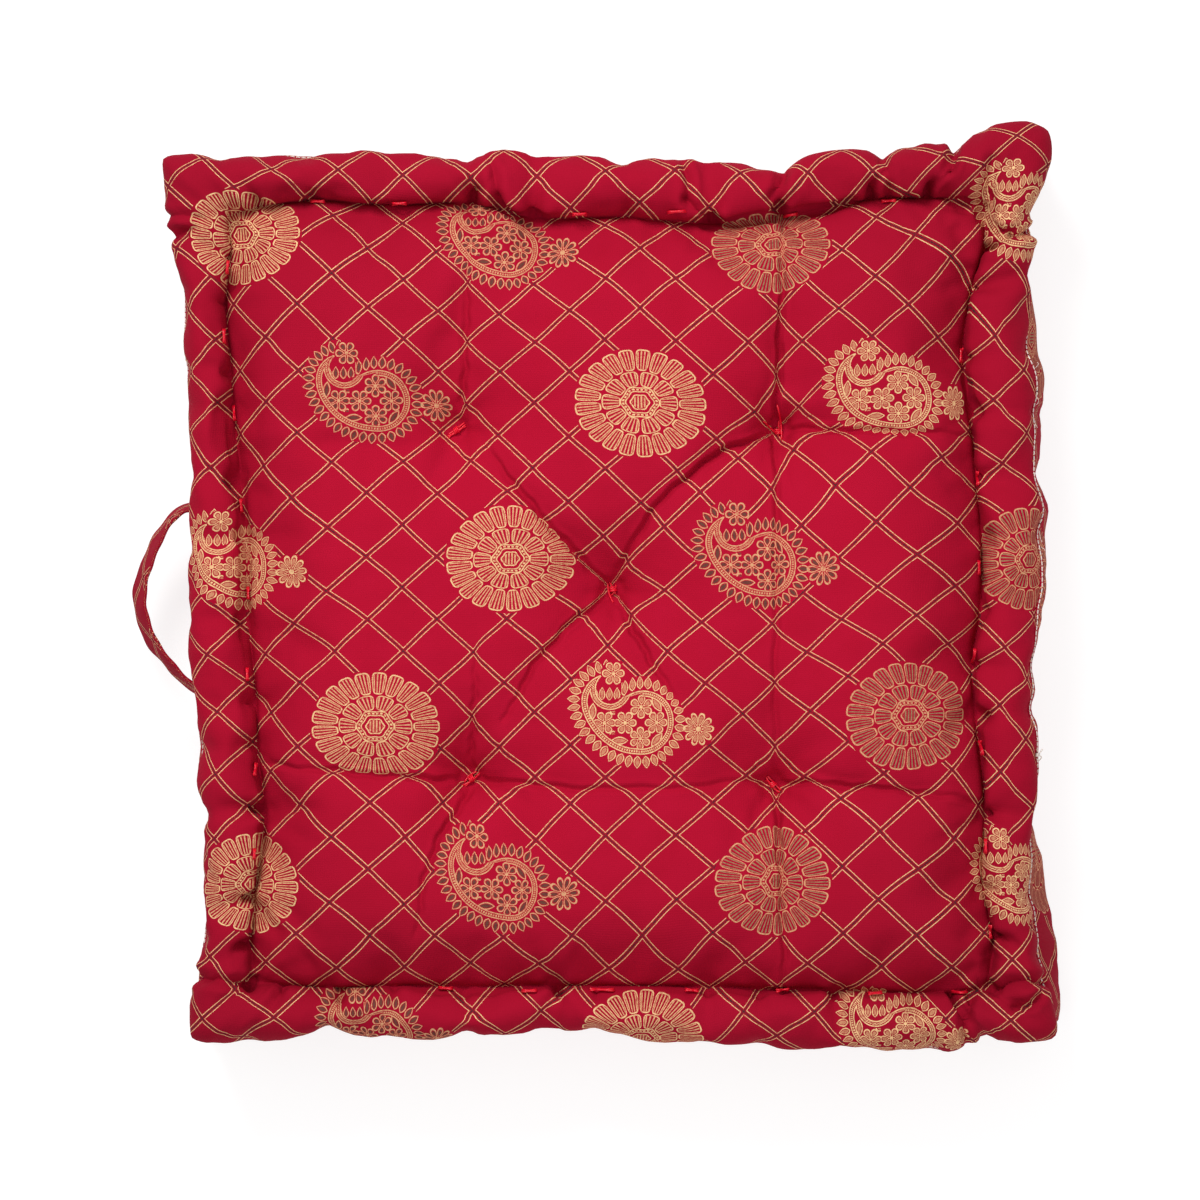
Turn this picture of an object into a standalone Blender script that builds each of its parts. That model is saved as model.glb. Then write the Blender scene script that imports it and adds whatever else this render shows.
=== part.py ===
"""Box cushion: a tufted floor cushion with hand-rolled edges and a strap handle.

The cushion lies on its back on the plane z = 0, +Z up, with the strap at -X.
Sizes are in millimetres in this file, and MM turns them into metres for the meshes.
"""
import math

import bpy
import bmesh
import numpy as np
from mathutils import Vector
from mathutils.bvhtree import BVHTree

MM = 0.001
CLEARANCE = 0.35            # between one piece and the next
PLAN_SHIFT = (6.1, -6.2)    # brings the middle of the whole piece's box over the origin

# Heights of the filled body.
HEIGHT = 90.0               # crown of the top panel over the floor
SEAM_HEIGHT = 67.0          # bottom of the hand-sewn groove inside the rolled edge
ROLL_MIDDLE = 71.0          # centre of the top roll
ROLL_RISE = 15.0            # half the height of a roll
PINCH_DROP = 3.0            # a hard stitch draws the roll's crest down by this much
PINCH_RUN = 9.0             # and its pull fades over this length
FLOOR_SINK = 5.0            # how much the weight presses out of the underside
COLUMNS = 32                # cells along each side
ROLL_START = 190.0          # the roll turns over from this angle, at the groove,
ROLL_END = -35.0            # to this one, at the seam under it, in degrees
ROLL_STEPS = 7              # cells round each roll
BAND_STEPS = 4              # cells down the side band
BAND_TUCK = -3.0            # the band lies this far under the roll where no row says more
BAND_BELLY = 2.0            # and swells by this much at half height
CROWN_RUN = 58.0            # the panel rises from the groove to its crown over this length

# Corners of the sewn groove inside the rolled edge, x and y.
GROOVE_CORNERS = {
    "back_left": (-196.0, 197.0),
    "back_right": (189.0, 204.0),
    "front_right": (193.0, -199.0),
    "front_left": (-185.0, -196.0),
}

# The rolled edge, side by side. Each row is one stitch that pulls the roll in:
# place along the side, outer edge, sewn groove, how far the roll swells past this
# stitch before the next one, and how hard this stitch pinches (0 to 1).
BACK_ROWS = (
    (-229.5, 225.4, 197.0, 2.5, 0.0),
    (-200.0, 226.4, 201.0, 1.0, 0.4),
    (-158.0, 228.5, 204.5, 0.5, 0.2),
    (-116.0, 228.5, 202.5, 0.5, 0.2),
    (-74.0, 225.4, 203.0, 4.5, 1.0),
    (-39.0, 223.9, 195.8, 1.5, 0.8),
    (5.0, 224.9, 196.0, 1.2, 0.2),
    (49.5, 221.9, 193.0, 1.5, 0.8),
    (87.2, 219.8, 195.5, 7.0, 1.0),
    (138.0, 227.0, 205.0, 4.5, 0.8),
    (176.0, 231.5, 206.0, 8.0, 0.9),
    (223.5, 240.0, 204.0, 0.0, 0.0),
)
RIGHT_ROWS = (
    (240.0, 223.5, 189.0, 1.5, 0.0),
    (197.0, 215.0, 190.5, 3.0, 1.0),
    (166.0, 213.0, 184.0, 1.5, 0.7),
    (128.0, 214.0, 180.0, 2.5, 0.3),
    (96.0, 217.0, 184.0, 0.5, 0.3),
    (62.0, 215.0, 186.5, 3.0, 0.7),
    (35.0, 219.0, 189.0, 0.5, 0.3),
    (-4.0, 219.0, 189.0, 0.5, 0.2),
    (-35.0, 215.2, 184.5, 2.0, 0.6),
    (-57.0, 215.5, 186.0, 4.0, 0.4),
    (-108.6, 214.5, 191.0, 1.0, 1.0),
    (-150.0, 215.5, 190.0, 1.0, 0.3),
    (-182.0, 219.0, 195.0, 1.5, 0.8),
    (-222.5, 227.5, 193.0, 0.0, 0.0),
)
FRONT_ROWS = (
    (227.5, -222.5, -199.0, 4.0, 0.0),
    (191.8, -223.4, -201.0, 4.5, 1.0),
    (164.0, -230.0, -201.0, 1.5, 0.2),
    (116.3, -228.5, -200.0, 1.0, 0.6),
    (74.0, -227.5, -199.0, 0.5, 0.2),
    (47.0, -226.5, -198.0, 1.0, 0.2),
    (-9.0, -221.3, -197.5, 1.0, 0.2),
    (-30.0, -217.3, -197.5, 2.0, 1.0),
    (-74.0, -222.8, -198.0, 0.7, 0.2),
    (-114.8, -223.4, -197.5, 0.7, 0.2),
    (-146.9, -220.3, -198.5, 2.5, 0.7),
    (-186.0, -225.0, -197.0, 1.0, 0.3),
    (-215.2, -224.4, -196.0, 0.0, 0.0),
)
LEFT_ROWS = (
    (-224.4, -215.2, -185.0, 1.0, 0.0),
    (-190.0, -212.2, -184.6, 0.5, 0.6),
    (-160.7, -208.1, -183.0, 2.5, 1.0),
    (-109.7, -207.6, -178.0, 3.5, 1.0),
    (-76.0, -211.5, -181.6, 1.0, 0.2),
    (-54.0, -213.0, -182.0, 1.0, 0.3),
    (-10.0, -216.0, -186.2, 0.5, 0.2),
    (30.0, -215.0, -187.0, 0.5, 0.2),
    (62.0, -215.2, -190.0, 1.0, 0.3),
    (98.0, -217.3, -193.5, 0.5, 0.2),
    (118.0, -219.2, -195.0, 1.0, 0.3),
    (158.0, -220.5, -197.5, 1.0, 0.2),
    (190.0, -224.5, -196.0, 0.5, 0.5),
    (225.4, -229.5, -196.0, 0.0, 0.0),
)
# Where the side band stands out past the roll on the right: place along, reach.
BAND_ROWS = (
    (240.0, -3.0), (197.0, -2.0), (166.0, 3.0), (128.0, 5.5), (90.0, 7.5), (62.0, 7.0),
    (35.0, 3.5), (-4.0, 3.0), (-57.0, 3.5), (-100.0, 0.5), (-120.0, 4.0), (-150.0, 9.5),
    (-182.0, 12.5), (-204.0, 9.5), (-222.5, 3.0),
)
SIDES = (
    ("back_left", "back_right", 0, 1.0, BACK_ROWS),
    ("back_right", "front_right", 1, 1.0, RIGHT_ROWS),
    ("front_right", "front_left", 0, -1.0, FRONT_ROWS),
    ("front_left", "back_left", 1, -1.0, LEFT_ROWS),
)

# Tufts: x and y of the knot, and its two free ends measured from the knot.
TUFTS = (
    ("tuft_back_left", (-79.7, 86.9), (-4.6, -3.2), (4.8, 3.0)),
    ("tuft_back_right", (85.1, 86.4), (-0.7, 13.5), (2.0, -4.4)),
    ("tuft_middle", (0.5, 5.7), (-2.6, 3.0), (0.2, -7.0)),
    ("tuft_front_left", (-72.0, -91.5), (-4.4, -3.4), (4.4, 3.0)),
    ("tuft_front_right", (82.3, -94.3), (-3.4, 3.8), (3.6, -4.4)),
)
TUFT_HOLLOW = 13.0          # depth of the broad hollow round a tuft
TUFT_HOLLOW_WIDTH = 34.0
TUFT_PIT = 9.0              # and of the pit right under the knot
TUFT_PIT_WIDTH = 11.0
TIE_SECTIONS = 12
TIE_SIDES = 8
TIE_END_RADIUS = 0.8
TIE_KNOT_RADIUS = 1.9

# Pulled creases between tufts: start, end, sideways bow, depth, half-width.
CREASES = (
    ((84.0, 86.0), (1.0, 8.0), -14.5, 4.0, 8.0),
    ((-2.0, 2.0), (-52.0, -58.0), -6.0, 3.0, 9.0),
    ((-2.0, 8.0), (-60.0, 72.0), 2.0, 3.0, 9.0),
    ((2.0, 2.0), (30.0, -46.0), -1.0, 2.5, 8.0),
    ((84.0, 90.0), (87.0, 192.0), 0.0, 3.5, 9.0),
    ((84.0, 82.0), (83.0, -88.0), 0.0, 2.0, 10.0),
    ((84.0, -100.0), (88.0, -190.0), 0.0, 3.0, 10.0),
    ((-76.0, 92.0), (-73.0, 165.0), 0.0, 2.0, 10.0),
    ((-74.0, -100.0), (-98.0, -165.0), -6.0, 2.5, 10.0),
    ((-72.0, -88.0), (-69.0, -30.0), 0.0, 2.0, 10.0),
    ((88.0, 87.0), (178.0, 84.0), 0.0, 2.5, 10.0),
    ((88.0, -94.0), (185.0, -103.0), 3.0, 2.5, 10.0),
    ((-78.0, -92.0), (-170.0, -84.0), 0.0, 2.5, 10.0),
    ((-66.0, -92.0), (76.0, -92.0), -4.0, 2.0, 10.0),
)

# Handle: a folded strap on its edge, sewn into the left side band.
STRAP_WIDTH = 22.0
STRAP_THICKNESS = 2.4
STRAP_HEIGHT = 46.0         # middle of the strap over the floor, at its ends
STRAP_DROOP = 5.0           # and this much lower at its middle
STRAP_LEAN = math.radians(10.0)
STRAP_SECTIONS = 26
STRAP_CELLS = 6
STRAP_ROUTE = (
    (-213.0, 47.6), (-220.3, 46.9), (-226.4, 42.4), (-231.5, 34.7), (-236.9, 22.5),
    (-240.9, 9.7), (-241.6, -2.0), (-239.3, -13.0), (-235.1, -22.9), (-228.5, -32.0),
    (-221.5, -40.0), (-213.0, -48.0),
)
SIDE_REACH = 60.0           # far enough inwards to meet the band from the strap's end

CRIMSON = (0.60, 0.012, 0.035)
DEEP_CRIMSON = (0.46, 0.010, 0.028)
FLOSS_RED = (0.70, 0.006, 0.012)


def smooth_through(at, knots, values):
    """Cubic curve through the rows, with slopes taken from the neighbouring rows."""
    knots = np.asarray(knots, float)
    values = np.asarray(values, float)
    slopes = np.gradient(values, knots)
    row = np.clip(np.searchsorted(knots, at, side="right") - 1, 0, len(knots) - 2)
    span = knots[row + 1] - knots[row]
    t = (at - knots[row]) / span
    rise_in = (t ** 3 - 2 * t ** 2 + t) * span * slopes[row]
    rise_out = (t ** 3 - t ** 2) * span * slopes[row + 1]
    blend = 3 * t ** 2 - 2 * t ** 3
    return values[row] * (1 - blend) + values[row + 1] * blend + rise_in + rise_out


def side_lines(side):
    """Outer edge, sewn groove, band reach and pinch at each column of one side."""
    start, end, run, outward, rows = side
    along_rows, outer_rows, groove_rows, swell_rows, pinch_rows = np.array(rows).T
    length = along_rows[-1] - along_rows[0]
    knots = np.round((along_rows - along_rows[0]) / length * COLUMNS)
    column = np.arange(COLUMNS + 1)
    along = np.interp(column, knots, along_rows)
    row = np.clip(np.searchsorted(knots, column, side="right") - 1, 0, len(knots) - 2)
    t = (column - knots[row]) / (knots[row + 1] - knots[row])
    swell = swell_rows[row] * np.sin(math.pi * np.clip(t, 0, 1)) ** 0.7
    outer = smooth_through(column, knots, outer_rows) + outward * swell
    groove = smooth_through(column, knots, groove_rows)
    pinch = np.max(pinch_rows * np.exp(-np.abs(along[:, None] - along_rows) / PINCH_RUN), axis=1)

    middle = 0.5 * (along_rows[0] + along_rows[-1])
    share = (along - middle) / (0.5 * length)
    start_move = GROOVE_CORNERS[start][run] - along_rows[0]
    end_move = GROOVE_CORNERS[end][run] - along_rows[-1]
    inner_along = along + np.where(share < 0, start_move, end_move) * share ** 4
    if rows is RIGHT_ROWS:
        band_along, band_reach = np.array(BAND_ROWS).T
        reach = np.interp(-along, -band_along, band_reach)
    else:
        reach = np.full(COLUMNS + 1, BAND_TUCK)

    outer_xy = np.stack([along, outer], axis=1)
    groove_xy = np.stack([inner_along, groove], axis=1)
    if run == 1:
        outer_xy = outer_xy[:, ::-1]
        groove_xy = groove_xy[:, ::-1]
    return outer_xy, groove_xy, reach, pinch


def panel_plan(back, right, front, left):
    """Grid of plan points spanned by the four grooves, as a Coons patch."""
    u = np.linspace(0, 1, COLUMNS + 1)[:, None, None]
    v = np.linspace(0, 1, COLUMNS + 1)[None, :, None]
    near = front[::-1][:, None]
    west = left[::-1][None]
    east = right[None]
    far = back[:, None]
    corners = ((1 - u) * (1 - v) * back[0] + u * (1 - v) * back[-1]
               + (1 - u) * v * front[-1] + u * v * front[0])
    return (1 - v) * far + v * near + (1 - u) * west + u * east - corners


def draw_to_tufts(plan):
    """Move the grid points near each tuft, so that one of them is on the knot."""
    for _, spot, _, _ in TUFTS:
        distance = np.linalg.norm(plan - spot, axis=2)
        nearest = plan[np.unravel_index(np.argmin(distance), distance.shape)]
        pull = np.exp(-(np.linalg.norm(plan - nearest, axis=2) / 30.0) ** 2)
        plan = plan + (np.array(spot) - nearest) * pull[..., None]
    return plan


def panel_height(plan):
    """Crown of the panel, less the tufts' hollows and the pulled creases."""
    x, y = plan[..., 0], plan[..., 1]
    edges = np.stack([x - x[0], x[-1] - x, y[:, :1] - y, y - y[:, -1:]])
    inset = np.sum(np.maximum(edges, 0.5) ** -3.0, axis=0) ** (-1 / 3)
    rise = 1 - (1 - np.clip(inset / CROWN_RUN, 0, 1)) ** 2.4
    height = SEAM_HEIGHT + (HEIGHT - SEAM_HEIGHT) * rise
    for _, spot, _, _ in TUFTS:
        far = np.hypot(x - spot[0], y - spot[1])
        height = height - TUFT_HOLLOW * np.exp(-(far / TUFT_HOLLOW_WIDTH) ** 2)
        height = height - TUFT_PIT * np.exp(-(far / TUFT_PIT_WIDTH) ** 2)
    for start, end, bow, depth, width in CREASES:
        run = np.subtract(end, start)
        length = np.hypot(*run)
        along = ((x - start[0]) * run[0] + (y - start[1]) * run[1]) / length ** 2
        across = ((y - start[1]) * run[0] - (x - start[0]) * run[1]) / length
        t = np.clip(along, 0, 1)
        miss = np.hypot(across - bow * 4 * t * (1 - t), (along - t) * length)
        height = height - depth * (1 - 0.6 * t) * np.exp(-(miss / width) ** 2) * rise
    return height


def new_object(name, vertices, faces, colour, roughness, spot=(0.0, 0.0, 0.0)):
    """One closed piece from points in millimetres, its origin at spot."""
    mesh = bpy.data.meshes.new(name)
    places = (np.asarray(vertices, float) - spot) * MM
    mesh.from_pydata(places.tolist(), [], faces)
    shell = bmesh.new()
    shell.from_mesh(mesh)
    bmesh.ops.recalc_face_normals(shell, faces=shell.faces)
    shell.to_mesh(mesh)
    shell.free()
    mesh.shade_smooth()
    material = bpy.data.materials.new(name)
    material.use_nodes = True
    shader = material.node_tree.nodes["Principled BSDF"]
    shader.inputs["Base Color"].default_value = (*colour, 1.0)
    shader.inputs["Roughness"].default_value = roughness
    shader.inputs["Metallic"].default_value = 0.0
    mesh.materials.append(material)
    piece = bpy.data.objects.new(name, mesh)
    piece.location = Vector(spot) * MM
    bpy.context.collection.objects.link(piece)
    return piece


def grid_faces(index):
    """Quads between the neighbouring entries of a two-way index table."""
    quads = np.stack([index[:-1, :-1], index[1:, :-1], index[1:, 1:], index[:-1, 1:]], axis=-1)
    return quads.reshape(-1, 4).tolist()


def build_cushion():
    """The filled body: top panel, roll, side band, lower roll and underside."""
    lines = [side_lines(side) for side in SIDES]
    outer = np.concatenate([line[0][:-1] for line in lines])
    groove = np.concatenate([line[1][:-1] for line in lines])
    reach = np.concatenate([line[2][:-1] for line in lines])
    pinch = np.concatenate([line[3][:-1] for line in lines])
    span = outer - groove
    outward = span / np.linalg.norm(span, axis=1)[:, None]

    # Rings from the top groove, over the roll and down the band, to the lower groove.
    turn = np.radians(np.linspace(ROLL_START, ROLL_END, ROLL_STEPS + 1))
    across = 0.5 + 0.5 * np.cos(turn)
    across[0] = 0.0
    heights = ROLL_MIDDLE + ROLL_RISE * np.sin(turn)
    heights[0] = SEAM_HEIGHT
    rings = []
    for share, height, angle in zip(across, heights, turn):
        drop = PINCH_DROP * pinch * max(math.sin(angle), 0)
        rings.append((groove + span * share, height - drop))
    seam = heights[-1]
    lower_seam = HEIGHT - FLOOR_SINK - seam
    low_outer = outer + outward * reach[:, None]
    low_groove = low_outer - span
    under_roll = outer - (1 - across[-1]) * span
    for step in range(1, BAND_STEPS):
        t = step / BAND_STEPS
        stand = reach * math.sin(0.5 * math.pi * t) + BAND_BELLY * math.sin(math.pi * t)
        rings.append((under_roll + outward * stand[:, None],
                      np.full(len(outer), seam + (lower_seam - seam) * t)))
    for share, height in zip(across[::-1], heights[::-1]):
        lowered = max(HEIGHT - FLOOR_SINK - height, 0.0)
        rings.append((low_groove + span * share, np.full(len(outer), lowered)))

    count = len(outer)
    points = [np.column_stack([plan, height]) for plan, height in rings]
    ring_index = np.arange(len(rings) * count).reshape(len(rings), count)
    closed = np.concatenate([ring_index, ring_index[:, :1]], axis=1)
    faces = grid_faces(closed)

    # Two panels close the tube, and share their borders with the first and last ring.
    total = len(rings) * count
    for ring, edge in ((0, groove), (-1, low_groove)):
        quarter = [np.concatenate([edge, edge[:1]])[k * COLUMNS:(k + 1) * COLUMNS + 1]
                   for k in range(4)]
        plan = panel_plan(*quarter)
        inner = draw_to_tufts(plan)
        plan[1:-1, 1:-1] = inner[1:-1, 1:-1]
        height = panel_height(plan)
        if ring == -1:
            height = np.maximum(HEIGHT - FLOOR_SINK - height, 0.0)
        index = np.zeros((COLUMNS + 1, COLUMNS + 1), int)
        border = np.concatenate([ring_index[ring], ring_index[ring][:1]])
        index[:, 0] = border[:COLUMNS + 1]
        index[-1, :] = border[COLUMNS:2 * COLUMNS + 1]
        index[:, -1] = border[2 * COLUMNS:3 * COLUMNS + 1][::-1]
        index[0, :] = border[3 * COLUMNS:4 * COLUMNS + 1][::-1]
        index[1:-1, 1:-1] = total + np.arange((COLUMNS - 1) ** 2).reshape(COLUMNS - 1, -1)
        total += (COLUMNS - 1) ** 2
        points.append(np.dstack([plan, height])[1:-1, 1:-1].reshape(-1, 3))
        faces += grid_faces(index)
    vertices = np.concatenate(points) + (*PLAN_SHIFT, 0.0)
    return new_object("cushion", vertices, faces, CRIMSON, 0.75)


def surface_of(piece):
    """Search tree of a piece's surface, in metres."""
    mesh = piece.data
    triangles = []
    for polygon in mesh.polygons:
        corners = list(polygon.vertices)
        triangles += [(corners[0], corners[k], corners[k + 1]) for k in range(1, len(corners) - 1)]
    return BVHTree.FromPolygons([vertex.co for vertex in mesh.vertices], triangles)


def distance_to(surface, place, direction):
    """Distance in millimetres from a place, along a direction, to the surface."""
    hit = surface.ray_cast(Vector(place) * MM, Vector(direction))
    return hit[3] / MM


def build_tie(name, spot, first_end, second_end, surface):
    """A knot of floss in its pit, with two free ends that lie along the cloth."""
    t = np.linspace(-1, 1, TIE_SECTIONS + 1)
    ends = np.where(t[:, None] < 0, np.array(first_end), np.array(second_end))
    plan = np.array(spot) + ends * np.abs(t[:, None]) + PLAN_SHIFT
    radius = TIE_END_RADIUS + (TIE_KNOT_RADIUS - TIE_END_RADIUS) * np.exp(-(t / 0.38) ** 2)
    heading = np.gradient(plan, axis=0)
    heading /= np.linalg.norm(heading, axis=1)[:, None]
    turn = np.linspace(0, 2 * math.pi, TIE_SIDES, endpoint=False)
    vertices = []
    for k, centre in enumerate(plan):
        sideways = np.array([-heading[k, 1], heading[k, 0]])
        ring = [(*(centre + sideways * radius[k] * math.cos(a)), radius[k] * math.sin(a)) for a in turn]
        drops = [HEIGHT * 2 - distance_to(surface, (x, y, HEIGHT * 2), (0, 0, -1)) - z for x, y, z in ring]
        lift = max(drops) + CLEARANCE
        vertices += [(x, y, z + lift) for x, y, z in ring]
    index = np.arange(len(vertices)).reshape(-1, TIE_SIDES)
    faces = grid_faces(np.concatenate([index, index[:, :1]], axis=1))
    faces += [index[0].tolist(), index[-1].tolist()]
    knot = tuple(np.mean(vertices, axis=0))
    return new_object(name, vertices, faces, FLOSS_RED, 0.35, knot)


def build_handle(surface):
    """The folded strap, carried along its route and fitted to the side band."""
    route = np.array(STRAP_ROUTE) + PLAN_SHIFT
    gaps = np.linalg.norm(np.diff(route, axis=0), axis=1)
    knots = np.concatenate([[0], np.cumsum(gaps)])
    at = np.linspace(0, knots[-1], STRAP_SECTIONS + 1)
    plan = np.stack([smooth_through(at, knots, route[:, axis]) for axis in (0, 1)], axis=1)
    heading = np.gradient(plan, axis=0)
    heading /= np.linalg.norm(heading, axis=1)[:, None]
    inward = np.stack([-heading[:, 1], heading[:, 0]], axis=1)
    middle = STRAP_HEIGHT - STRAP_DROOP * np.sin(math.pi * at / knots[-1])

    up = np.linspace(-0.5, 0.5, STRAP_CELLS + 1) * STRAP_WIDTH
    loop = [(-0.5 * STRAP_THICKNESS, z) for z in up] + [(0.5 * STRAP_THICKNESS, z) for z in up[::-1]]
    vertices = []
    for k, centre in enumerate(plan):
        for across, z in loop:
            side = across * math.cos(STRAP_LEAN) + z * math.sin(STRAP_LEAN)
            lift = z * math.cos(STRAP_LEAN) - across * math.sin(STRAP_LEAN)
            vertices.append((*(centre + inward[k] * side), middle[k] + lift))
    vertices = np.array(vertices).reshape(-1, len(loop), 3)
    for end in (0, -1):
        for point in vertices[end]:
            start = (point[0] - SIDE_REACH, point[1], point[2])
            point[0] += distance_to(surface, start, (1, 0, 0)) - SIDE_REACH - CLEARANCE
    index = np.arange(vertices.shape[0] * vertices.shape[1]).reshape(vertices.shape[:2])
    faces = grid_faces(np.concatenate([index, index[:, :1]], axis=1))
    for ring in (index[0], index[-1]):
        faces += [[ring[k], ring[k + 1], ring[-2 - k], ring[-1 - k]] for k in range(STRAP_CELLS)]
    root = tuple(plan[0]) + (STRAP_HEIGHT,)
    return new_object("handle", vertices.reshape(-1, 3), faces, DEEP_CRIMSON, 0.8, root)


for old in list(bpy.data.objects):
    bpy.data.objects.remove(old)
resting_place = bpy.data.objects.new("resting_place", None)
bpy.context.collection.objects.link(resting_place)
cushion = build_cushion()
cushion_surface = surface_of(cushion)
pieces = [cushion, build_handle(cushion_surface)]
for tuft in TUFTS:
    pieces.append(build_tie(*tuft, cushion_surface))
for piece in pieces:
    piece.parent = resting_place
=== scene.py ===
"""Tufted box cushion of printed crimson cotton, laid flat and seen from straight above.

Sizes are in millimetres, in the plan of the photograph, and MM turns them into metres.
"""

import math

import bmesh
import bpy
import numpy as np
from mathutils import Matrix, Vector
from mathutils.bvhtree import BVHTree


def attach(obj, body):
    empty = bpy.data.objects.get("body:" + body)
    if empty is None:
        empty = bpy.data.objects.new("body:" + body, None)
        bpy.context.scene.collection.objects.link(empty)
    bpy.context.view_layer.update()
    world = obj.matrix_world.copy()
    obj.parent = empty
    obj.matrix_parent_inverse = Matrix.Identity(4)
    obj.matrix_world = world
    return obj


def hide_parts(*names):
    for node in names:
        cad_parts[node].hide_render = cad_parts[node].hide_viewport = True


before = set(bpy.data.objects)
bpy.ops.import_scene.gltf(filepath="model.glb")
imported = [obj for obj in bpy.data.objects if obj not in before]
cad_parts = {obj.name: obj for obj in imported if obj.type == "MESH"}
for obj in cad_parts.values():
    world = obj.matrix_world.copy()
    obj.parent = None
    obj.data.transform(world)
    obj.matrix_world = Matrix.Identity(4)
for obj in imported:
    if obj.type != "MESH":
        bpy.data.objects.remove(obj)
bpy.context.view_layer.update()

# The cover: a top and an underside of printed cotton, a side band between them, and a
# cotton filling that is packed hard. The rim of each panel is stuffed and sewn through by
# hand into a roll, so a groove runs inside it, and five ties draw the panels together.
MM = 0.001
PLAN_SHIFT = (6.1, -6.2)    # brings the middle of the whole piece's box over the origin
HEIGHT = 90.0               # crown of the top panel over the floor
SEAM_HEIGHT = 67.0          # bottom of the sewn groove inside the rolled edge
ROLL_MIDDLE = 71.0          # centre of the top roll
ROLL_RISE = 15.0            # half the height of a roll
PINCH_DROP = 3.0            # a hard stitch draws the roll's crest down by this much
PINCH_RUN = 9.0             # and its pull fades over this length
FLOOR_SINK = 5.0            # how much the weight presses out of the underside
CELLS = 80                  # along each side
ROLL_START = 190.0          # the roll turns over from this angle, at the groove,
ROLL_END = -35.0            # to this one, at the seam under it, in degrees
ROLL_CELLS = 13
BAND_CELLS = 7
BAND_TUCK = -3.0            # the band lies this far under the roll where no row says more
BAND_BELLY = 2.0            # and swells by this much at half height
CROWN_RUN = 58.0            # the panel rises from the groove to its crown over this length

# Corners of the sewn groove inside the rolled edge, x and y.
GROOVE_CORNERS = {
    "back_left": (-196.0, 197.0),
    "back_right": (189.0, 204.0),
    "front_right": (193.0, -199.0),
    "front_left": (-185.0, -196.0),
}

# The rolled edge, side by side. Each row is one stitch that pulls the roll in:
# place along the side, outer edge, sewn groove, how far the roll swells past this
# stitch before the next one, and how hard this stitch pinches (0 to 1).
BACK_ROWS = (
    (-229.5, 225.4, 197.0, 2.5, 0.0),
    (-200.0, 226.4, 201.0, 1.0, 0.4),
    (-158.0, 228.5, 204.5, 0.5, 0.2),
    (-116.0, 228.5, 202.5, 0.5, 0.2),
    (-74.0, 225.4, 203.0, 4.5, 1.0),
    (-39.0, 223.9, 195.8, 1.5, 0.8),
    (5.0, 224.9, 196.0, 1.2, 0.2),
    (49.5, 221.9, 193.0, 1.5, 0.8),
    (87.2, 219.8, 195.5, 7.0, 1.0),
    (138.0, 227.0, 205.0, 4.5, 0.8),
    (176.0, 231.5, 206.0, 8.0, 0.9),
    (223.5, 240.0, 204.0, 0.0, 0.0),
)
RIGHT_ROWS = (
    (240.0, 223.5, 189.0, 4.0, 0.0),
    (197.0, 215.0, 190.5, 3.0, 1.0),
    (166.0, 213.0, 184.0, 1.5, 0.7),
    (128.0, 214.0, 180.0, 2.5, 0.3),
    (96.0, 217.0, 184.0, 0.5, 0.3),
    (62.0, 215.0, 186.5, 3.0, 0.7),
    (35.0, 219.0, 189.0, 0.5, 0.3),
    (-4.0, 219.0, 189.0, 0.5, 0.2),
    (-35.0, 215.2, 184.5, 2.0, 0.6),
    (-57.0, 215.5, 186.0, 4.0, 0.4),
    (-108.6, 214.5, 191.0, 1.0, 1.0),
    (-150.0, 215.5, 190.0, 1.0, 0.3),
    (-182.0, 219.0, 195.0, 1.5, 0.8),
    (-222.5, 227.5, 193.0, 0.0, 0.0),
)
FRONT_ROWS = (
    (227.5, -222.5, -199.0, 4.0, 0.0),
    (191.8, -223.4, -201.0, 4.5, 1.0),
    (164.0, -230.0, -201.0, 1.5, 0.2),
    (116.3, -228.5, -200.0, 1.0, 0.6),
    (74.0, -227.5, -199.0, 0.5, 0.2),
    (47.0, -226.5, -198.0, 1.0, 0.2),
    (-9.0, -221.3, -197.5, 1.0, 0.2),
    (-30.0, -217.3, -197.5, 2.0, 1.0),
    (-74.0, -222.8, -198.0, 0.7, 0.2),
    (-114.8, -223.4, -197.5, 0.7, 0.2),
    (-146.9, -220.3, -198.5, 2.5, 0.7),
    (-186.0, -225.0, -197.0, 1.0, 0.3),
    (-215.2, -224.4, -196.0, 0.0, 0.0),
)
LEFT_ROWS = (
    (-224.4, -215.2, -185.0, 1.0, 0.0),
    (-190.0, -212.2, -184.6, 0.5, 0.6),
    (-160.7, -208.1, -183.0, 2.5, 1.0),
    (-109.7, -207.6, -178.0, 3.5, 1.0),
    (-76.0, -211.5, -181.6, 1.0, 0.2),
    (-54.0, -213.0, -182.0, 1.0, 0.3),
    (-10.0, -216.0, -186.2, 0.5, 0.2),
    (30.0, -215.0, -187.0, 0.5, 0.2),
    (62.0, -215.2, -190.0, 1.0, 0.3),
    (98.0, -217.3, -193.5, 0.5, 0.2),
    (118.0, -219.2, -195.0, 1.0, 0.3),
    (158.0, -220.5, -197.5, 1.0, 0.2),
    (190.0, -224.5, -196.0, 0.5, 0.5),
    (225.4, -229.5, -196.0, 0.0, 0.0),
)
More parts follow.
